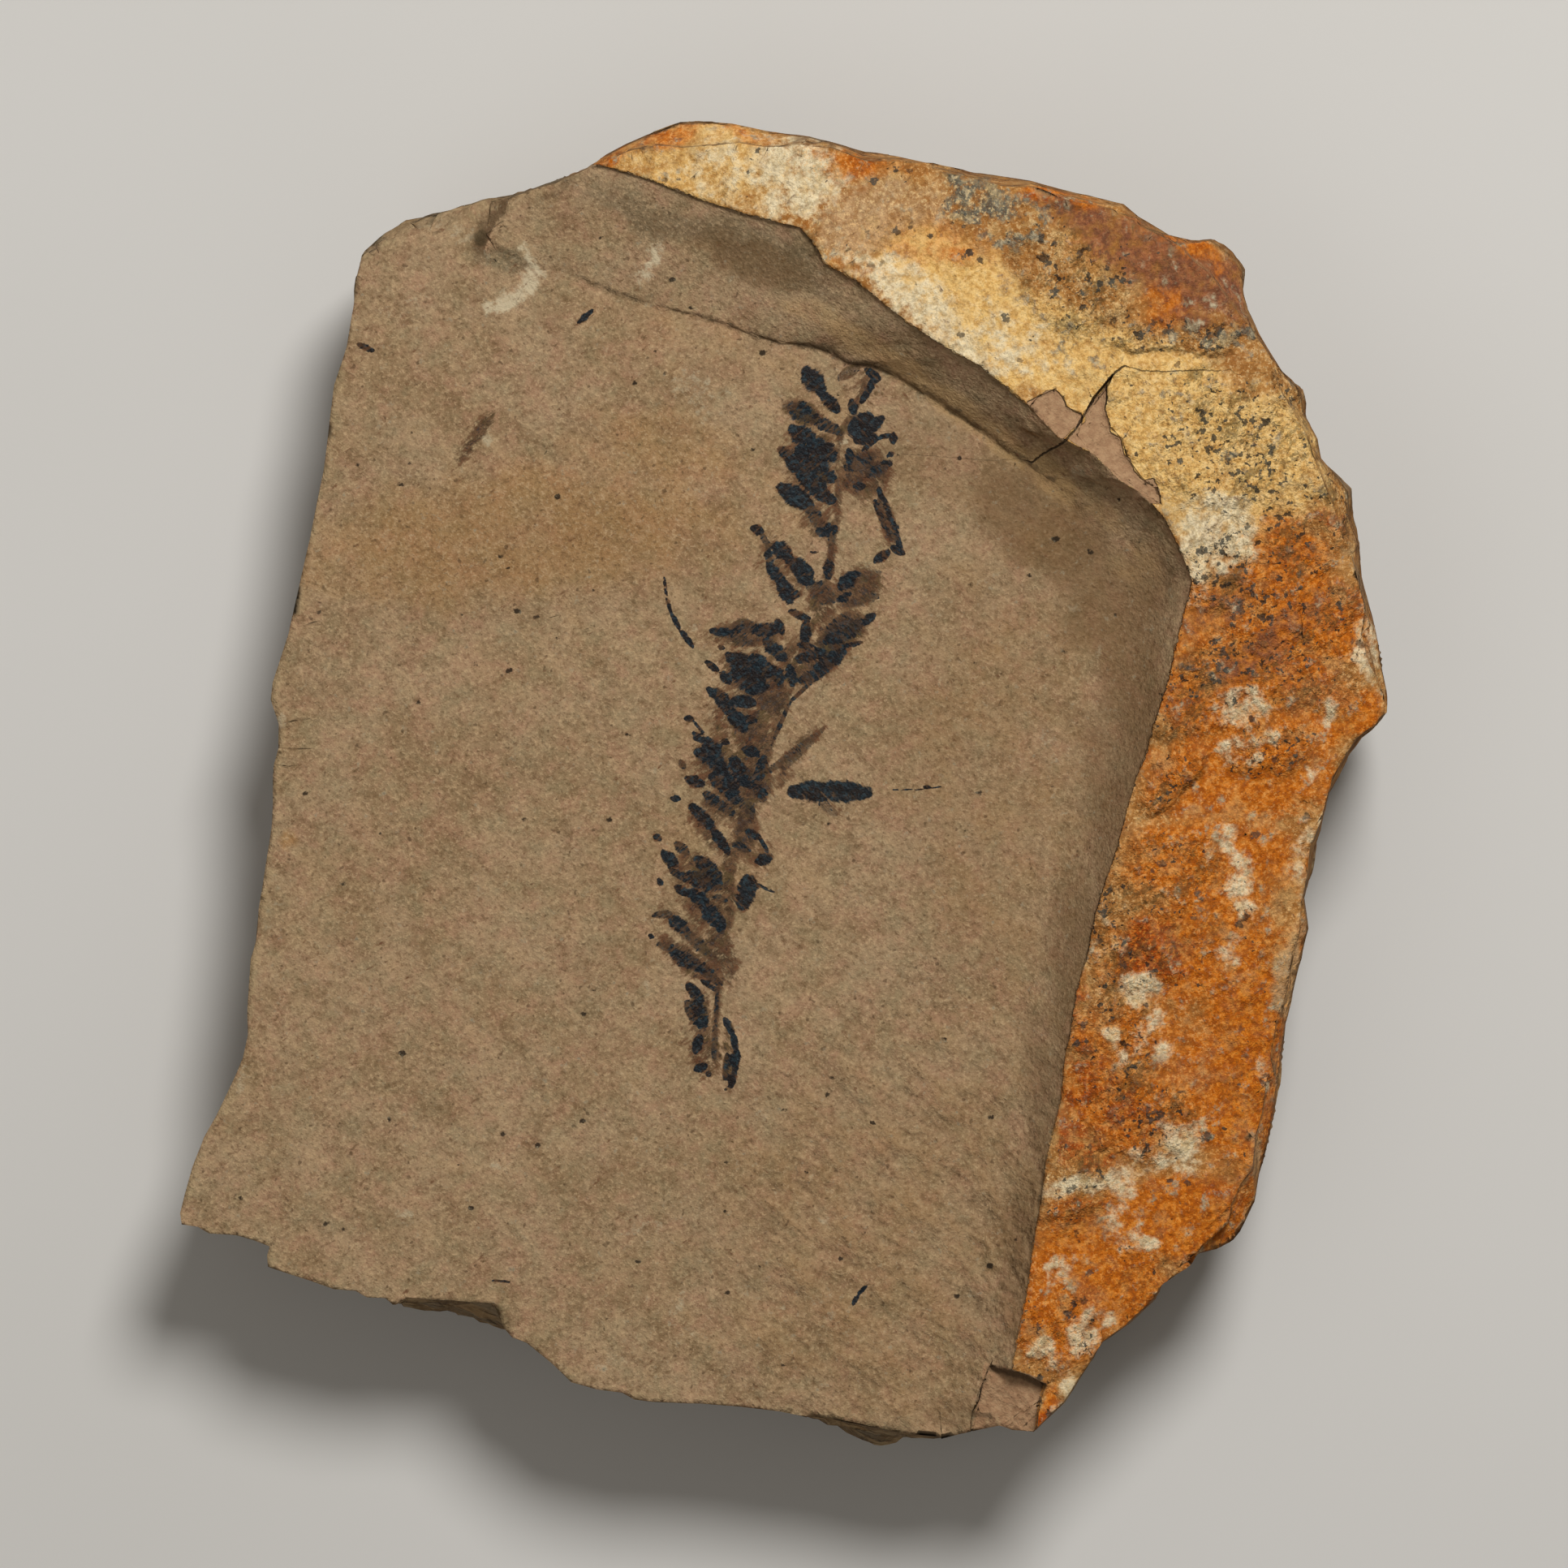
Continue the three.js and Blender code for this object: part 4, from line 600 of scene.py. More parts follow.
def inside(places, outline):
    """Distance in drawing units from a closed outline, above 0 inside it."""
    gap = np.abs(past_line(places, outline))
    crossings = np.zeros(len(places), int)
    for (x0, y0), (x1, y1) in zip(outline, outline[1:]):
        if y0 == y1:
            continue
        between = (places[:, 1] >= min(y0, y1)) & (places[:, 1] < max(y0, y1))
        at = x0 + (places[:, 1] - y0) / (y1 - y0) * (x1 - x0)
        crossings += between & (places[:, 0] < at)
    return np.where(crossings % 2 == 1, gap, -gap)


def past_crust_edge(places):
    """Distance in drawing units from the crust's crisp edge, above 0 on the crust."""
    return past_line(places, CRUST_EDGE)


def past_line(places, line):
    """Distance in drawing units from a line, above 0 to the left of the way along it."""
    nearest = np.full(len(places), FAR)
    signed = np.zeros(len(places))
    for start, end in zip(line, line[1:]):
        start, end = np.array(start, float), np.array(end, float)
        way = end - start
        out = places - start
        share = np.clip(out @ way / (way @ way), 0, 1)
        off = out - share[:, None] * way
        distance = np.hypot(off[:, 0], off[:, 1])
        closer = distance < nearest - TINY
        side = np.sign(way[1] * out[:, 0] - way[0] * out[:, 1])
        nearest[closer] = distance[closer]
        signed[closer] = (side * distance)[closer]
    return signed


def wanted_spacing(points):
    """How long an edge of the mesh may be at each point."""
    places = on_drawing(points)
    gap, _ = nearest_stroke(places, TWIG + SPOT_STROKES + CRUMB_STROKES + FINE_STROKES)
    crust = ease(past_crust_edge(places), *CRUST_BAND)
    top = FACE_SPACING + (CRUST_SPACING - FACE_SPACING) * crust
    top = FINE_SPACING + (top - FINE_SPACING) * ease(np.abs(gap + 1), *FINE_BAND)
    spacing = np.where(points[:, 2] > SIDE_TOP, top, SIDE_SPACING)
    return np.where(points[:, 2] < BACK_TOP, BACK_SPACING, spacing)


def split_long_edges(bm):
    """Splits every edge that is longer than wanted. Returns how many there were."""
    bm.edges.ensure_lookup_table()
    ends = np.array([(*e.verts[0].co, *e.verts[1].co) for e in bm.edges])
    start, end = ends[:, :3], ends[:, 3:]
    rim = {v for e in bm.edges if not e.smooth for v in e.verts}
    beside = np.array([e.verts[0] in rim or e.verts[1] in rim for e in bm.edges])
    spacing = wanted_spacing((start + end) / 2)
    top = np.minimum(start[:, 2], end[:, 2]) > SIDE_TOP
    spacing = np.where(beside & top, np.minimum(spacing, RIM_SPACING), spacing)
    long = np.linalg.norm(end - start, axis=1) > spacing
    found = [bm.edges[int(i)] for i in np.flatnonzero(long)]
    bmesh.ops.subdivide_edges(bm, edges=found, cuts=1)
    bmesh.ops.triangulate(bm, faces=[f for f in bm.faces if len(f.verts) > 3])
    return len(found)


def worn_soft(places):
    """True where the hard steps are worn soft, clear of the crack and of the crust's edge."""
    worn = np.zeros(len(places), bool)
    for low, high in WORN_PLACES:
        worn |= np.all((places > low) & (places < high), axis=1)
    off_crack = np.abs(past_line(places, CRACK)) > CRACK_CLEAR
    off_edge = np.abs(past_crust_edge(places)) > EDGE_CLEAR
    return worn & off_crack & off_edge


def refined_stone():
    """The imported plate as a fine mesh: its facets eased, its sharp edges kept."""
    bm = bmesh.new()
    bm.from_mesh(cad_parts["plate"].data)
    bmesh.ops.remove_doubles(bm, verts=bm.verts, dist=WELD)
    middles = np.array([(edge.verts[0].co + edge.verts[1].co) / 2 for edge in bm.edges])
    worn = worn_soft(on_drawing(middles)) & (middles[:, 2] > EASED_ABOVE)
    for edge, soft in zip(bm.edges, worn.tolist()):
        edge.smooth = soft or edge.calc_face_angle(0) < SHARP_EDGE
    for _ in range(SPLIT_ROUNDS):
        found = split_long_edges(bm)
        free = [v for v in bm.verts if v.co.z > EASED_ABOVE and all(e.smooth for e in v.link_edges)]
        for _ in range(EASE_ROUNDS):
            bmesh.ops.smooth_vert(bm, verts=free, factor=0.5, use_axis_z=True)
        if found == 0:
            break
    mesh = bpy.data.meshes.new("stone_plate")
    bm.to_mesh(mesh)
    bm.free()
    return mesh


def corners(mesh):
    points = np.empty(len(mesh.vertices) * 3)
    mesh.vertices.foreach_get("co", points)
    return points.reshape(-1, 3)


def corner_normals(mesh):
    normals = np.empty(len(mesh.vertices) * 3, np.float32)
    mesh.vertex_normals.foreach_get("vector", normals)
    return normals.reshape(-1, 3).astype(float)


def edge_ends(mesh):
    ends = np.empty(len(mesh.edges) * 2, np.int32)
    mesh.edges.foreach_get("vertices", ends)
    return ends.reshape(-1, 2)


def neighbour_mean(values, ends):
    """The mean of each vertex's neighbours' values."""
    count = np.bincount(ends.ravel(), minlength=len(values))
    columns = []
    for column in values.T:
        total = np.bincount(ends[:, 0], column[ends[:, 1]], len(values))
        total += np.bincount(ends[:, 1], column[ends[:, 0]], len(values))
        columns.append(total / np.maximum(count, 1))
    return np.stack(columns, axis=1)


def fractal(points, size, octaves, seed):
    """Fractal noise from about -1 to 1, with waves of a size in millimetres, along x, y and z."""
    scaled = points / MM / np.array(size) + seed
    return np.array([noise.fractal(place, 1, 2, octaves) for place in scaled.tolist()])


def broken_share(points, normals):
    """1 on the broken beds of the sides, 0 on the face and the crust."""
    steep = 1 - ease(normals[:, 2], *STEEP)
    steep = steep * ease(np.abs(past_crust_edge(on_drawing(points))), 8, 20)
    low = 1 - ease(points[:, 2], 14.6 * MM, 15.9 * MM)
    return np.maximum(steep, low)


# The stone's own roughness: for each kind of surface its noises, as the size of their waves in
# millimetres, octaves, seed and depth in millimetres, and how far the surface is sunk.
ROUGHNESS = {
    "face": ([(8, 2, 3.1, 0.05), (1.4, 2, 7.7, 0.018)], 0),
    "crust": ([(2.6, 4, 11.3, 0.16)], 0.06),
    "side": ([((7, 7, 0.7), 2, 19.4, 0.34), ((2.2, 2.2, 0.9), 3, 23.8, 0.2)], 0.16),
    "back": ([(5, 3, 31.6, 0.16)], 0.1),
}


def roughness(points, surface):
    """How far each point of a kind of surface stands out, in millimetres."""
    noises, sunk = ROUGHNESS[surface]
    return sum(depth * fractal(points, size, octaves, seed) for size, octaves, seed, depth in noises) - sunk


def roughened(points, normals):
    """The points with the stone's own roughness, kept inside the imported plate's box."""
    crust = ease(past_crust_edge(on_drawing(points)), -2, 6)
    back = ease(-normals[:, 2], *UNDER)
    side_depth = roughness(points, "side") * (1 - 0.75 * ease(points[:, 2], 15 * MM, 16 * MM))
    depth = roughness(points, "face")
    depth = depth + (roughness(points, "crust") - depth) * crust
    depth = depth + (side_depth - depth) * broken_share(points, normals)
    depth = depth + (roughness(points, "back") - depth) * back
    moved = points + normals * depth[:, None] * MM
    return np.clip(moved, np.array(CAD_LOW), np.array(CAD_HIGH))


def bedded(points):
    """The points with the floor of each flake and small bed laid flat, clear of its walls."""
    places = on_drawing(points)
    for outline in CRUST_FLAKES + CRUST_BEDS:
        within = np.minimum(inside(places, outline), past_crust_edge(places))
        within = np.minimum(within, np.abs(past_line(places, CRACK)))
        bed = np.flatnonzero((within > FLAKE_WALL) & (points[:, 2] > EASED_ABOVE))
        level = np.column_stack((points[bed, :2] / MM, np.ones(len(bed))))
        plane = level @ np.linalg.lstsq(level, points[bed, 2], rcond=None)[0]
        share = ease(within[bed], FLAKE_WALL, 2 * FLAKE_WALL)
        points[bed, 2] += share * (plane - points[bed, 2])
    return points


def give(mesh, name, values):
    """Stores a number for each vertex in a named attribute."""
    attribute = mesh.attributes.new(name, "FLOAT", "POINT")
    attribute.data.foreach_set("value", np.asarray(values, np.float32))


def paint_marks(mesh):
    """Stores what the material reads: gaps to the marks in millimetres, and soft covers."""
    points, normals, ends = corners(mesh), corner_normals(mesh), edge_ends(mesh)
    places = on_drawing(points)
    unit = UNIT / MM
    top = 1 - broken_share(points, normals)
    warp = np.stack((fractal(points, 4.5, 4, 41.2), fractal(points, 4.5, 4, 47.9)), axis=1)
    drifted = places + COARSE_DRIFT * warp
    nudged = places + FINE_DRIFT * warp
    out, left = needle_cover(places, TWIG)
    give(mesh, "char_out", out + 3 * (1 - top))
    give(mesh, "char_left", left)
    give(mesh, "right_of_stem", ease(past_line(places, STEM), 6, -6))
    give(mesh, "stem", line_cover(nudged, [(STEM, STEM_WIDTH, 1)], 5) * top)
    gap, left = nearest_stroke(places, CRUMB_STROKES)
    give(mesh, "crumb", left * ease(-gap, -3, 2))
    out, black = needle_cover(places, SPOT_STROKES)
    give(mesh, "spot_out", out)
    give(mesh, "spot_black", black)
    for name, ovals in STAINS.items():
        give(mesh, name, stain_cover(nudged if name in FINE_STAINS else drifted, ovals))
    give(mesh, "crust", past_crust_edge(places) * unit)
    flaked = np.max([inside(places, outline) for outline in CRUST_FLAKES], axis=0)
    flaked = np.minimum(flaked, past_crust_edge(places))
    give(mesh, "flake", np.maximum(flaked, inside(places, FOOT_CHIP)) * unit)
    # painted shade beyond each small step
    step_shade = np.zeros(len(places))
    for line, reach, strength in NICKS:
        gap = past_line(nudged, line)
        step_shade = np.maximum(step_shade, strength * ease(gap, -reach, -3) * ease(-gap, -1, 1))
    give(mesh, "step_shade", step_shade * top)
    give(mesh, "scuff", line_cover(nudged, SCUFFS, 9))
    give(mesh, "shade_and_grime", line_cover(places, SHADE_AND_GRIME_LINES, 5))
    give(mesh, "crack_gap", past_line(places, CRACK) * unit)
    open_share = ease(places[:, 0], WIDE_CRACK[0] - 12, WIDE_CRACK[0] + 6)
    open_share = open_share * ease(-places[:, 0], -WIDE_CRACK[1] - 10, -WIDE_CRACK[1] + 4)
    thin = 0.018 + 0.02 * ease(places[:, 0], WIDE_CRACK[1], WIDE_CRACK[1] + 16)
    give(mesh, "crack_width", (thin + 0.06 * open_share) * top)
    give(mesh, "crease", line_cover(places, [(CREASE, 4, 1)], 4))
    under = ease(past_crust_edge(places) * unit, -9, 12)
    give(mesh, "rind", under * (0.25 + 0.75 * ease(points[:, 2] / MM, 6, 19)))
    give(mesh, "broken", 1 - top)
    give(mesh, "back", ease(-normals[:, 2], *UNDER))
    # how far each vertex stands out; the rims that stand out are painted paler: painted highlight along
    # with wear
    lift = np.sum((points - neighbour_mean(points, ends)) * normals, axis=1)
    lift = neighbour_mean(lift[:, None], ends)[:, 0]
    give(mesh, "worn", ease(lift / MM, 0.02, 0.09))


BACK_MAPPED = 3 * MM  # the map's back holds the level triangles below this
# Where each side of the stone lies on the map: left, bottom, width and height.
FACE_PATCH = (0.005, 0.005, 0.76, 0.84)
BACK_PATCH = (0.775, 0.005, 0.22, 0.243)
LEFT_PATCH = (0.775, 0.26, 0.1, 0.73)
RIGHT_PATCH = (0.885, 0.26, 0.1, 0.73)
LOWER_PATCH = (0.005, 0.855, 0.76, 0.065)
UPPER_PATCH = (0.005, 0.93, 0.76, 0.065)


def lay_out_map(mesh):
    """Lays the stone out on one map: the face large, the back and the four sides beside it."""
    points = corners(mesh)
    size = np.array(CAD_HIGH) - np.array(CAD_LOW)
    share = (points - np.array(CAD_LOW)) / size
    loops = len(mesh.loops)
    vertex = np.empty(loops, np.int32)
    mesh.loops.foreach_get("vertex_index", vertex)
    normals = np.empty(len(mesh.polygons) * 3, np.float32)
    mesh.polygon_normals.foreach_get("vector", normals)
    normals = normals.reshape(-1, 3).repeat(3, axis=0)
    centres = np.empty(len(mesh.polygons) * 3, np.float32)
    mesh.polygons.foreach_get("center", centres)
    centres = centres.reshape(-1, 3).repeat(3, axis=0)
    across, along, up = share[vertex].T
    out_across = centres[:, 0] / size[0]
    out_along = centres[:, 1] / size[1]
    face = (normals[:, 2] > FACING) & (centres[:, 2] > SIDE_TOP)
    back = (normals[:, 2] < -FACING) & (centres[:, 2] < BACK_MAPPED) & ~face
    side = ~face & ~back
    ends = side & (np.abs(out_along) > np.abs(out_across))
    flanks = side & ~ends
    layout = (
        (face, FACE_PATCH, across, along),
        (back, BACK_PATCH, across, along),
        (flanks & (out_across < 0), LEFT_PATCH, up, along),
        (flanks & (out_across >= 0), RIGHT_PATCH, up, along),
        (ends & (out_along < 0), LOWER_PATCH, across, up),
        (ends & (out_along >= 0), UPPER_PATCH, across, up),
    )
    uv = np.zeros((loops, 2))
    for chosen, (left, bottom, width, height), u, v in layout:
        uv[chosen, 0] = left + width * u[chosen]
        uv[chosen, 1] = bottom + height * v[chosen]
    layer = mesh.uv_layers.new(name="OFBake")
    layer.data.foreach_set("uv", uv.ravel().astype(np.float32))


def build_stone():
    mesh = refined_stone()
    mesh.vertices.foreach_set("co", bedded(corners(mesh)).ravel())
    mesh.update()
    points = roughened(corners(mesh), corner_normals(mesh))
    mesh.vertices.foreach_set("co", points.ravel())
    mesh.update()
    mesh.shade_smooth()
    mesh.set_sharp_from_angle(angle=SHADED_SHARP)
    paint_marks(mesh)
    lay_out_map(mesh)
    stone = bpy.data.objects.new("stone_plate", mesh)
    bpy.context.scene.collection.objects.link(stone)
    return stone


# ---- the finish ----------------------------------------------------------------------------------

GRID_TILT = 0.55  # radians off the level face, so that a noise's own grid doesn't show there
GRID_TURN = 0.3
LEFT_NEEDLE_TURN = math.radians(-44)  # the needles' way on the left of the stem
RIGHT_NEEDLE_TURN = math.radians(38)
STREAK_TURN = math.radians(-40)
GRIT_TURN = math.radians(48)
HUE_TURN = 0.7
CRUST_TURN = 1.9
NEEDLE_FIBRE = (3.6, 1, 1)  # how the fibres are stretched along a needle
STREAK = (1.7, 1, 1)
LEVEL_BEDS = (7, 7, 1)


def colour(code):
    """A linear colour from a written one, such as 8f7759."""
    values = []
    for i in (0, 2, 4):
        v = int(code[i:i + 2], 16) / 255
        values.append(v / 12.92 if v <= 0.04045 else ((v + 0.055) / 1.055) ** 2.4)
    return (*values, 1)


class Finish:
    """Short calls that add nodes to one material."""

    def __init__(self, name):
        self.material = bpy.data.materials.new(name)
        self.material.use_nodes = True
        self.tree = self.material.node_tree
        self.tree.nodes.clear()
        self.place = self.add("ShaderNodeTexCoord").outputs["Object"]
        self.tilted = self.stretched((1, 1, 1), GRID_TURN)

    def add(self, kind, **settings):
        node = self.tree.nodes.new(kind)
        for name, value in settings.items():
            setattr(node, name, value)
        return node

    def put(self, socket, value):
        if isinstance(value, bpy.types.NodeSocket):
            self.tree.links.new(value, socket)
        else:
            socket.default_value = value

    def read(self, name):
        return self.add("ShaderNodeAttribute", attribute_name=name).outputs["Fac"]

    def math(self, operation, a, b=0.0):
        node = self.add("ShaderNodeMath", operation=operation)
        self.put(node.inputs[0], a)
        self.put(node.inputs[1], b)
        return node.outputs[0]

    def times(self, a, b):
        return self.math("MULTIPLY", a, b)

    def plus(self, a, b):
        return self.math("ADD", a, b)

    def swing(self, noise, reach):
        """A noise moved to swing about 0, by a reach."""
        return self.times(self.plus(noise, -0.5), reach)

    def total(self, *parts):
        """The sum of several values, each with its weight."""
        return reduce(self.plus, [self.times(value, weight) for value, weight in parts])

    def most(self, *values):
        return reduce(lambda a, b: self.math("MAXIMUM", a, b), values)

    def ease(self, value, low, high):
        node = self.add("ShaderNodeMapRange", interpolation_type="SMOOTHSTEP")
        self.put(node.inputs["Value"], value)
        self.put(node.inputs["From Min"], low)
        self.put(node.inputs["From Max"], high)
        return node.outputs[0]

    def stretched(self, size, turn=0.0, tilt=GRID_TILT):
        """The place in axes tilted, turned about Z and stretched by a size along each of them."""
        node = self.add("ShaderNodeMapping", vector_type="TEXTURE")
        self.put(node.inputs["Vector"], self.place)
        node.inputs["Rotation"].default_value = (tilt, 0, turn)
        node.inputs["Scale"].default_value = size
        return node.outputs[0]

    def noise(self, size, detail, roughness=0.55, place=None):
        """Noise from 0 to 1 with waves of a size in millimetres."""
        node = self.add("ShaderNodeTexNoise")
        self.put(node.inputs["Vector"], place or self.tilted)
        node.inputs["Scale"].default_value = 1 / (size * MM)
        node.inputs["Detail"].default_value = detail
        node.inputs["Roughness"].default_value = roughness
        return node.outputs["Fac"]

    def mix(self, share, a, b):
        node = self.add("ShaderNodeMix", data_type="RGBA")
        self.put(node.inputs[0], share)
        self.put(node.inputs[6], a)
        self.put(node.inputs[7], b)
        return node.outputs[2]

    def shades(self, noise, low, high, dark, light):
        """One written colour where a noise is low, another where it is high."""
        return self.mix(self.ease(noise, low, high), colour(dark), colour(light))

    def over(self, under, shade, share, strength=1.0):
        """A colour, written or from a node, laid over another as far as a share of it says."""
        shade = colour(shade) if isinstance(shade, str) else shade
        return self.mix(self.times(share, strength), under, shade)

    def laid(self, under, layers):
        """Colours laid one after the other, each with its share and its strength."""
        for shade, share, strength in layers:
            under = self.over(under, shade, share, strength)
        return under

    def between(self, share, a, b):
        node = self.add("ShaderNodeMix", data_type="FLOAT")
        self.put(node.inputs[0], share)
        self.put(node.inputs[2], a)
        self.put(node.inputs[3], b)
        return node.outputs[0]

    def patchy(self, cover, grain, low, high, breakup=1.1):
        """A soft cover broken up by a grain: ragged at its edge, solid where it is strong."""
        return self.ease(self.plus(cover, self.swing(grain, breakup)), low, high)

    def surface(self, tint, roughness):
        """Ends the material with a surface, and returns its node."""
        skin = self.add("ShaderNodeBsdfPrincipled")
        self.put(skin.inputs["Base Color"], tint)
        self.put(skin.inputs["Roughness"], roughness)
        out = self.add("ShaderNodeOutputMaterial")
        self.put(out.inputs["Surface"], skin.outputs[0])
        return skin


def face_stone(f):
    """Tan shale of the split face, with its faint stains, scuffs and crumbs of char, painted shade beside
    the steps and along the crust's rise, and painted light on the riser.
    """
    clouds = f.noise(7, 3, 0.6)
    mottle = f.noise(2.6, 4, 0.6, f.stretched(STREAK, STREAK_TURN))
    hue = f.noise(2.2, 3, 0.62, f.stretched((1, 1, 1), HUE_TURN))
    speck = f.noise(0.8, 3, 0.66)
    motes = f.noise(0.62, 1, 0.5)
    return f.laid(f.shades(clouds, 0.35, 0.65, "957a59", "a18666"), (
        ("a97d62", f.ease(hue, 0.48, 0.68), 0.45),
        ("89805f", f.ease(hue, 0.5, 0.32), 0.35),
        ("b89a76", f.ease(mottle, 0.5, 0.7), 0.4),
        ("7a6042", f.ease(mottle, 0.5, 0.3), 0.45),
        ("a5753a", f.patchy(f.read("ochre"), mottle, 0.1, 1.1), 0.5),
        # painted shade on the upper slopes, with a grey tone
        ("75684f", f.patchy(f.read("ash_grey_and_shade"), mottle, 0.1, 1.0), 0.8),
        ("bb9c75", f.ease(speck, 0.5, 0.7), 0.4),
        ("6b5032", f.ease(speck, 0.5, 0.3), 0.45),
        ("ccae86", f.ease(f.grain, 0.53, 0.68), 0.42),
        ("5c4428", f.ease(f.grain, 0.46, 0.32), 0.38),
        ("b9a98a", f.patchy(f.read("pale"), f.crumbs, 0.3, 1.1, 2.4), 0.7),
        ("4a3724", f.ease(motes, 0.69, 0.78), 0.6),
        # painted shade along the foot of the crust's rise, with a broad darker tone
        ("66492a", f.patchy(f.read("shade_and_dark_tone"), mottle, 0.05, 1.1, 0.8), 0.62),
        # painted light on the riser
        ("bc9866", f.patchy(f.read("painted_riser_light"), mottle, 0.1, 1.1, 1.5), 0.5),
        # painted shade beside the small steps
        ("4a3620", f.patchy(f.read("step_shade"), f.crumbs, 0.1, 0.95, 0.8), 0.7),
        ("1c150f", f.patchy(f.read("crumb"), f.crumbs, 0.35, 0.7, 2.2), 0.9),
        ("cdbd9c", f.patchy(f.read("scuff"), f.crumbs, 0.2, 1.0, 2.4), 0.8),
    ))


def crust_stone(f):
    """Weathered crust: ochre and rust stains, cream patches and dirt, with painted highlights on its grit
    and painted shade in its pits.
    """
    coarse = f.between(0.5, f.noise(4.2, 4, 0.62), f.lumps)
    tint = f.shades(f.lumps, 0.4, 0.6, "a06a32", "bb8446")
    stains = (
        ("yellow", coarse, 0.15, 0.85, 2, "d8a65c", "efc67c"),
        ("orange", coarse, 0.15, 0.85, 2.4, "aa5204", "d17518"),
        ("rust", f.lumps, 0.3, 1.0, 3, "8c3a06", "b5500c"),
        ("umber", f.lumps, 0.25, 1.1, 3, "6d4230", "9a5e3b"),
        ("pink", coarse, 0.25, 0.85, 2, "b08658", "c09a70"),
        ("slate", f.lumps, 0.35, 0.95, 4, "555146", "7a7563"),
        ("cream", f.lumps, 0.2, 1.15, 3.6, "d4be93", "f2e1bb"),
    )
    for name, breaker, low, high, breakup, dark, light in stains:
        cover = f.patchy(f.read(name), breaker, low, high, breakup)
        tint = f.mix(cover, tint, f.shades(f.crumbs, 0.35, 0.65, dark, light))

    turned = f.stretched((1, 1, 1), CRUST_TURN)
    slanted = f.stretched(STREAK, GRIT_TURN)
    rusty = f.most(f.read("orange"), f.read("rust"))
    # holds the painted highlights down on the umber stain
    highlight_damping = f.between(f.read("umber"), 1, 0.15)
    lumpy = f.times(f.ease(f.read("speckles"), 0.1, 0.7), f.between(f.read("cream"), 1, 0.35))
    # colour of the painted highlights, more orange on the rusty stains
    light = f.mix(rusty, colour("f4d196"), colour("e89a40"))
    ruddy = f.times(f.ease(f.noise(3.4, 4, 0.64, turned), 0.52, 0.66), f.between(rusty, 0.15, 0.55))
    sandy_highlight = f.times(f.ease(f.noise(2.3, 4, 0.66, turned), 0.52, 0.66), f.between(rusty, 0.45, 0.22))
    dirt = f.noise(1.5, 4, 0.68, f.stretched((1, 1, 1), HUE_TURN))
    highlight_and_pit_grain = f.noise(0.36, 2, 0.74, turned)
    grit = f.plus(f.noise(0.4, 3, 0.74, slanted), f.swing(f.noise(2.6, 2, 0.62, slanted), 1.1))
    # Sandy patches and the light spots over the crumbs and the fine grain are painted highlights; the dark
    # spots of the same noises are painted shade in pits.
    return f.laid(tint, (
        ("a3633a", ruddy, 1),
        ("dcb778", f.times(sandy_highlight, highlight_damping), 1),
        ("7d5f3e", f.times(f.ease(dirt, 0.53, 0.63), f.between(lumpy, 0.05, 0.4)), 1),
        (light, f.times(f.ease(f.crumbs, 0.5, 0.7), highlight_damping), 0.35),
        ("7c5026", f.times(f.ease(f.crumbs, 0.5, 0.3), f.between(lumpy, 0.2, 0.25)), 1),
        (light, f.times(f.ease(highlight_and_pit_grain, 0.54, 0.66), highlight_damping), 0.5),
        ("6d421a", f.times(f.ease(highlight_and_pit_grain, 0.47, 0.36), f.between(lumpy, 0.25, 0.45)), 1),
        ("4b4226", f.times(f.ease(grit, 0.58, 0.65), f.between(lumpy, 0.1, 0.5)), 1),
        ("9c5a1c", f.read("crease"), 0.5),
    ))


def manganese(f):
    """Cover of the black specks on the crust: scattered clusters and the larger spots."""
    clusters = f.noise(2.2, 3, 0.62, f.stretched((1, 1, 1), HUE_TURN))
    value = f.plus(f.noise(0.62, 2, 0.6), f.swing(clusters, 0.45))
    low = f.between(f.read("speckles"), 0.76, 0.562)
    scattered = f.times(f.ease(value, low, f.plus(low, 0.04)), 0.93)
    frayed = f.plus(f.read("spot_out"), f.swing(f.crumbs, 8))
    return f.most(scattered, f.times(f.ease(frayed, 0.1, -0.4), f.read("spot_black")))


def broken_stone(f):
    """Broken beds: thin layers of brown and grey shale, iron stained under the crust."""
    level = f.stretched(LEVEL_BEDS, tilt=0)
    layers = f.noise(0.9, 3, 0.6, level)
    thin = f.noise(0.35, 2, 0.6, level)
    clouds = f.noise(5, 4, 0.66, f.stretched((1, 1, 0.5), tilt=0))
    grey = f.noise(5, 2, 0.6, f.stretched((1.6, 1.6, 0.5), tilt=0))
    stain = f.patchy(f.read("rind"), f.between(0.3, clouds, layers), 0.2, 0.85, 4)
    return f.laid(f.shades(layers, 0.35, 0.65, "664f35", "8a6f4d"), (
        ("a0855e", f.ease(thin, 0.5, 0.75), 0.6),
        ("443323", f.ease(thin, 0.45, 0.25), 0.6),
        (f.shades(thin, 0.35, 0.65, "76461c", "a5753f"), stain, 0.7),
        ("6f6a5c", f.ease(grey, 0.53, 0.66), 0.4),
        ("33261a", f.ease(f.lumps, 0.42, 0.32), 0.5),
        ("b09a78", f.ease(f.grain, 0.5, 0.75), 0.3),
    ))


def back_stone(f):
    """The rough back: dull tan with rusty clouds."""
    clouds = f.noise(7, 3, 0.6)
    return f.laid(f.shades(f.lumps, 0.35, 0.65, "776149", "8e7758"), (
        ("96693a", f.ease(clouds, 0.52, 0.66), 0.7),
        ("645a4a", f.ease(clouds, 0.45, 0.35), 0.5),
        ("a8906c", f.ease(f.grain, 0.5, 0.75), 0.4),
    ))


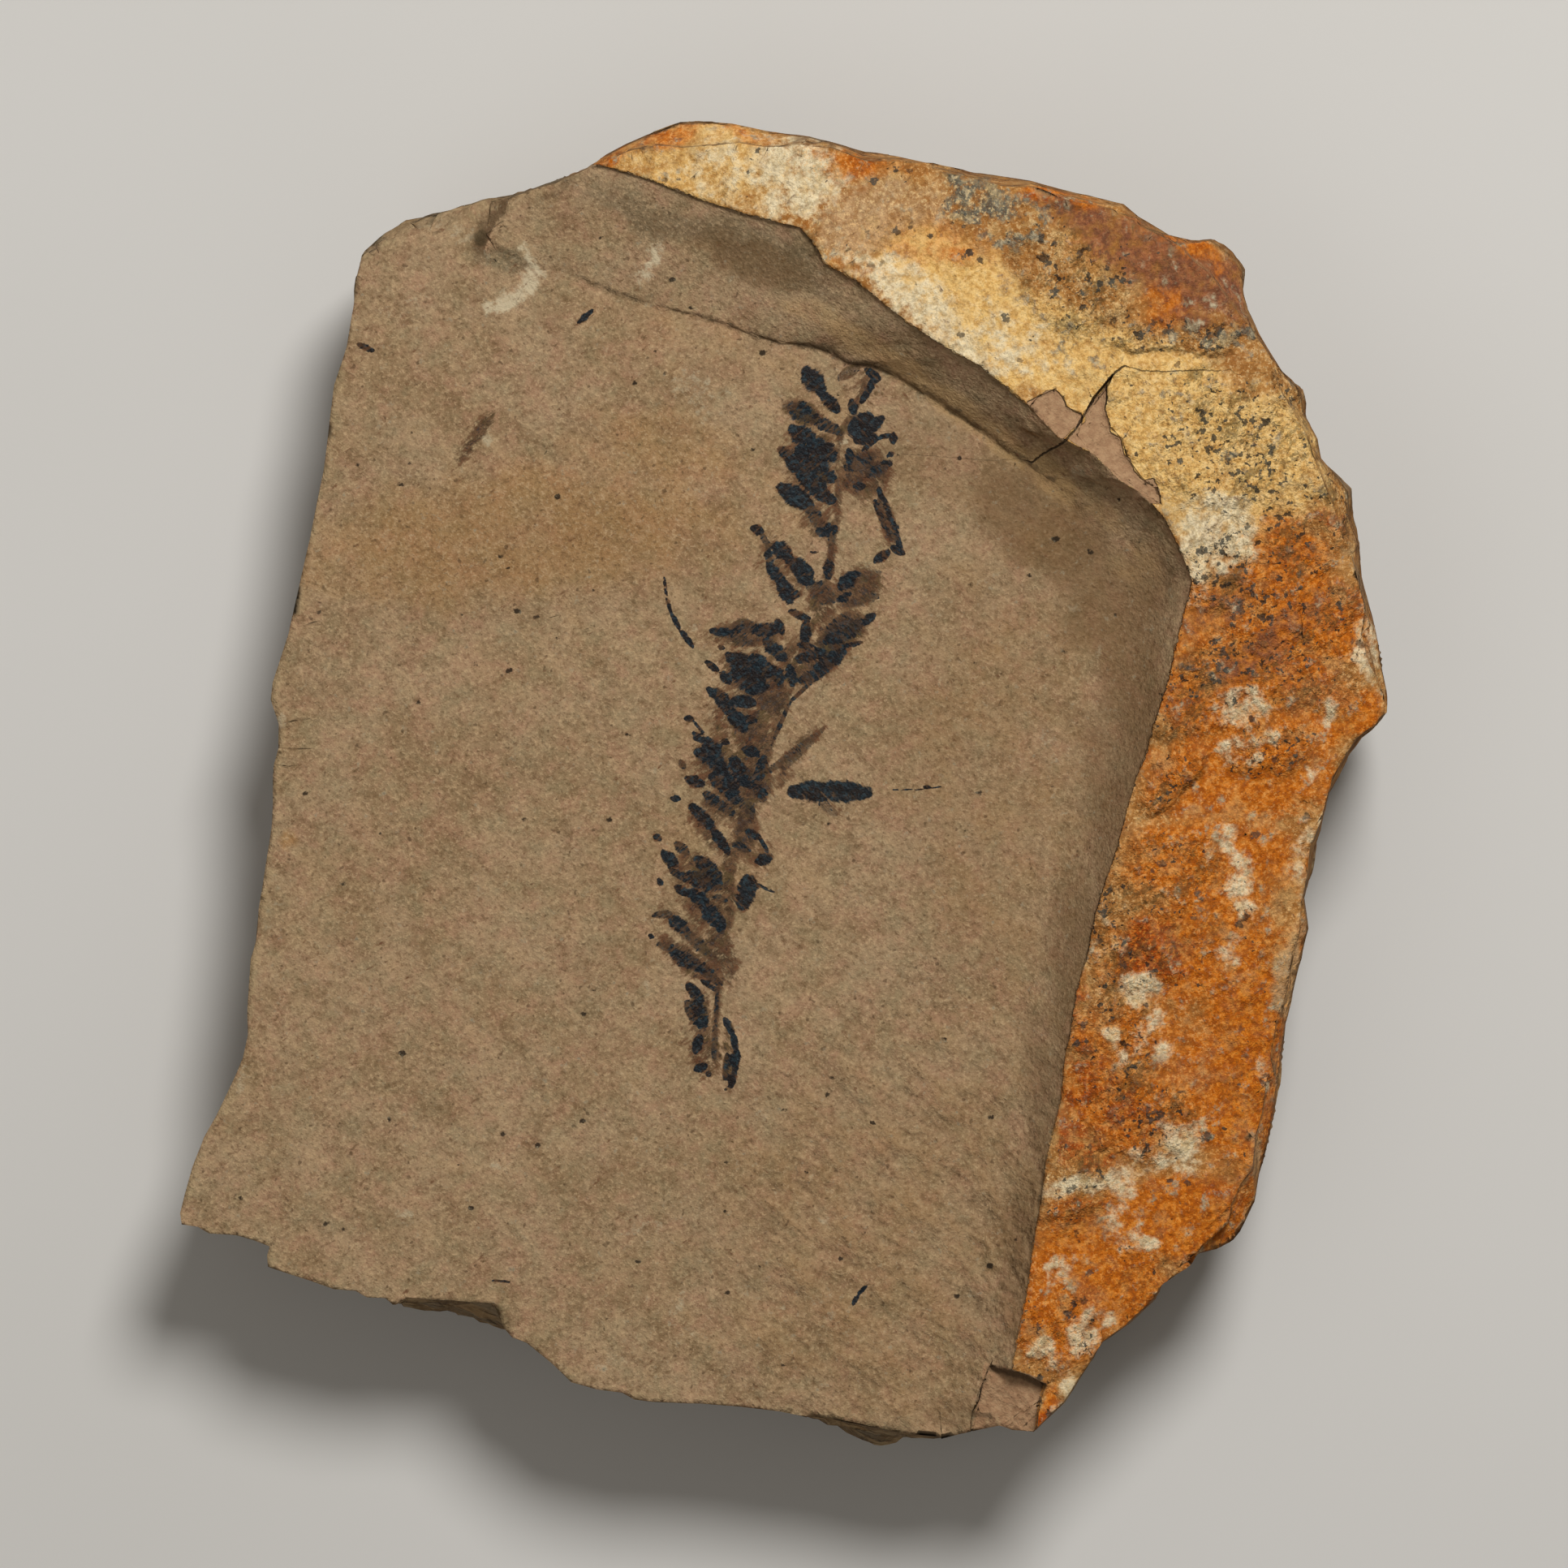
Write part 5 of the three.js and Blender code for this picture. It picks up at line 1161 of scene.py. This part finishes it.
def fossil(f, stone):
    """The twig on the stone: a brown film, with blue-black char left on most needles. Returns the
    tint and how much of it is char."""
    out, left = f.read("char_out"), f.read("char_left")
    along_left = f.noise(0.42, 4, 0.72, f.stretched(NEEDLE_FIBRE, LEFT_NEEDLE_TURN))
    along_right = f.noise(0.42, 4, 0.72, f.stretched(NEEDLE_FIBRE, RIGHT_NEEDLE_TURN))
    fibres = f.between(f.read("right_of_stem"), along_left, along_right)
    torn = f.between(0.4, fibres, f.noise(0.75, 5, 0.76))

    olive = f.noise(2.2, 3, 0.62, f.stretched((1, 1, 1), HUE_TURN))
    brown = f.laid(f.shades(fibres, 0.42, 0.58, "2b1e14", "6f5037"), (
        ("6b3d26", f.ease(f.lumps, 0.5, 0.64), 0.45),
        ("4d4425", f.ease(olive, 0.52, 0.64), 0.6),
    ))
    halo = f.times(f.ease(out, 0.5, -0.1), f.ease(left, 1.3, 0.7))
    cover = f.most(f.read("film"), f.times(f.read("stem"), 0.7), f.times(halo, 0.55))
    film = f.patchy(f.times(cover, 1.2), torn, 0.25, 0.85, 4.6)
    smoke = f.times(f.ease(f.plus(out, f.swing(torn, 3)), 0.12, -0.16), f.ease(left, 0.2, 0.8))
    tint = f.laid(stone, ((brown, film, 0.9), ("38291c", smoke, 0.55)))

    flecks = f.plus(torn, f.times(f.plus(cover, -1), 0.2))
    flecks = f.times(f.ease(flecks, 0.475, 0.525), f.ease(cover, 0.15, 0.5))
    tatter = f.plus(5.6, f.times(left, -3.3))
    ragged = f.ease(f.plus(out, f.swing(torn, tatter)), 0.2, -0.12)
    flaked = f.ease(torn, f.between(left, 0.3, 0.56), f.between(left, 0.38, 0.63))
    char = f.most(f.times(ragged, f.between(flaked, 1.0, 0.2)), f.times(flecks, 0.75))

    soot = f.laid(f.shades(f.lumps, 0.42, 0.58, "07151d", "140e0e"), (
        ("253a42", f.ease(f.noise(0.4, 2, 0.7), 0.5, 0.64), 0.7),
        ("42311f", f.ease(fibres, 0.53, 0.6), 0.3),
    ))
    return f.over(tint, soot, char, 0.96), char


def crack_share(f):
    """1 in the crack, 0 beside it."""
    gap = f.math("ABSOLUTE", f.plus(f.read("crack_gap"), f.swing(f.grain, 0.25)))
    width = f.read("crack_width")
    crack = f.ease(gap, f.plus(width, 0.05), f.times(width, 0.5))
    return f.times(crack, f.ease(width, 0.002, 0.06))


def stone_height(f, crust, crack):
    """How high the finest roughness stands, in millimetres."""
    slanted = f.stretched(STREAK, STREAK_TURN)
    streaks = f.times(f.noise(2.6, 2, 0.6, slanted), f.read("coarse"))
    face = f.total((f.grain, 0.13), (f.noise(1.2, 3, 0.72, slanted), 0.22), (streaks, 1.1))
    lumpy = f.between(f.ease(f.read("speckles"), 0.1, 0.7), 0.45, 1.25)
    pitted = f.total((f.lumps, 0.8), (f.noise(2.6, 1, 0.6), 0.6))
    ledges = f.ease(f.noise(0.9, 3, 0.6, f.stretched(LEVEL_BEDS, tilt=0)), 0.46, 0.54)
    height = f.between(crust, face, f.total((pitted, lumpy), (f.grain, 0.16)))
    height = f.between(f.read("broken"), height, f.total((ledges, 0.34), (f.lumps, 0.25)))
    height = f.between(f.read("back"), height, f.times(f.lumps, 0.3))
    return f.plus(height, f.times(crack, -0.15))


def shale_finish():
    f = Finish("shale")
    f.grain = f.noise(0.34, 2, 0.7)
    f.crumbs = f.noise(0.7, 3, 0.68)
    f.lumps = f.noise(1.5, 4, 0.66)
    crust = f.ease(f.plus(f.read("crust"), f.swing(f.crumbs, 0.7)), -0.05, 0.03)
    bare = f.ease(f.plus(f.read("flake"), f.swing(f.lumps, 0.6)), -0.07, 0.07)
    crust = f.times(crust, f.between(bare, 1, 0))
    black = f.times(manganese(f), crust)
    crack = crack_share(f)

    tint = f.laid(f.mix(crust, face_stone(f), crust_stone(f)), (
        (f.shades(f.crumbs, 0.35, 0.65, "a07a5a", "b48f6b"), bare, 0.9),
        (f.shades(f.lumps, 0.35, 0.65, "12100c", "44463f"), black, 0.92),
        # painted shade along steps, edges and cracks, with some dirt
        ("33281a", f.patchy(f.read("shade_and_grime"), f.crumbs, 0.2, 1.0, 2), 0.6),
        # painted shade from the shade ovals
        ("3d3420", f.patchy(f.read("shade"), f.lumps, 0.1, 1.2, 2), 0.65),
    ))
    tint, char = fossil(f, tint)
    tint = f.laid(tint, (
        ("2a1e12", crack, 0.9),
        (broken_stone(f), f.read("broken"), 1),
        (back_stone(f), f.read("back"), 1),
        # paler on the convex rims: painted highlight along with wear
        ("b39c74", f.patchy(f.read("worn"), f.lumps, 0.4, 0.9), 0.3),
    ))

    bump = f.add("ShaderNodeBump")
    bump.inputs["Strength"].default_value = 1
    bump.inputs["Distance"].default_value = MM
    f.put(bump.inputs["Height"], stone_height(f, crust, crack))
    matt = f.between(f.most(char, black), f.plus(0.84, f.times(f.grain, 0.16)), 0.58)
    skin = f.surface(tint, matt)
    skin.inputs["IOR"].default_value = 1.45
    skin.inputs["Specular IOR Level"].default_value = 0.2
    f.put(skin.inputs["Normal"], bump.outputs[0])
    return f.material


# ---- camera, light and floor ---------------------------------------------------------------------

LENS = 300
SENSOR = 36
VIEW_HEIGHT = (FACE_HEIGHT + CRUST_HEIGHT) / 2


def place_camera():
    """Straight above the plate, which lies with its top towards +Y."""
    data = bpy.data.cameras.new("camera")
    data.lens, data.sensor_width = LENS, SENSOR
    distance = DRAWING_WIDTH * UNIT * LENS / SENSOR
    data.clip_start, data.clip_end = distance / 100, distance * 10
    camera = bpy.data.objects.new("camera", data)
    middle = (DRAWING_WIDTH / 2 - MIDDLE_ACROSS) * UNIT, (MIDDLE_DOWN - DRAWING_WIDTH / 2) * UNIT
    camera.location = (*middle, VIEW_HEIGHT + distance)
    bpy.context.scene.collection.objects.link(camera)
    bpy.context.scene.camera = camera


def add_lamp(name, direction, distance, size, power):
    data = bpy.data.lights.new(name, "AREA")
    data.shape, data.size, data.energy = "DISK", size, power
    lamp = bpy.data.objects.new(name, data)
    way = Vector(direction).normalized()
    lamp.location = way * distance
    lamp.rotation_euler = way.to_track_quat("Z", "Y").to_euler()
    bpy.context.scene.collection.objects.link(lamp)


def set_light():
    add_lamp("key", direction=(0.3, 0.74, 1.15), distance=0.8, size=0.28, power=5.2)
    add_lamp("fill", direction=(-0.8, -0.5, 1.1), distance=1.0, size=0.9, power=1.0)
    world = bpy.data.worlds.new("studio")
    world.use_nodes = True
    world.node_tree.nodes["Background"].inputs["Color"].default_value = (1, 0.95, 0.87, 1)
    world.node_tree.nodes["Background"].inputs["Strength"].default_value = 0.16
    bpy.context.scene.world = world
    bpy.context.scene.view_settings.view_transform = "Standard"


def lay_floor():
    bpy.ops.mesh.primitive_plane_add(size=8)
    floor = bpy.context.object
    floor.name = "floor"
    f = Finish("floor")
    f.surface(
        f.mix(f.noise(60, 1, 0.5), colour("cfccc6"), colour("d6d3ce")),
        f.plus(0.85, f.times(f.noise(5, 1, 0.55), 0.1)),
    )
    floor.data.materials.append(f.material)


place_camera()
stone = build_stone()
stone.data.materials.append(shale_finish())
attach(stone, "root")
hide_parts("plate")
lay_floor()
set_light()
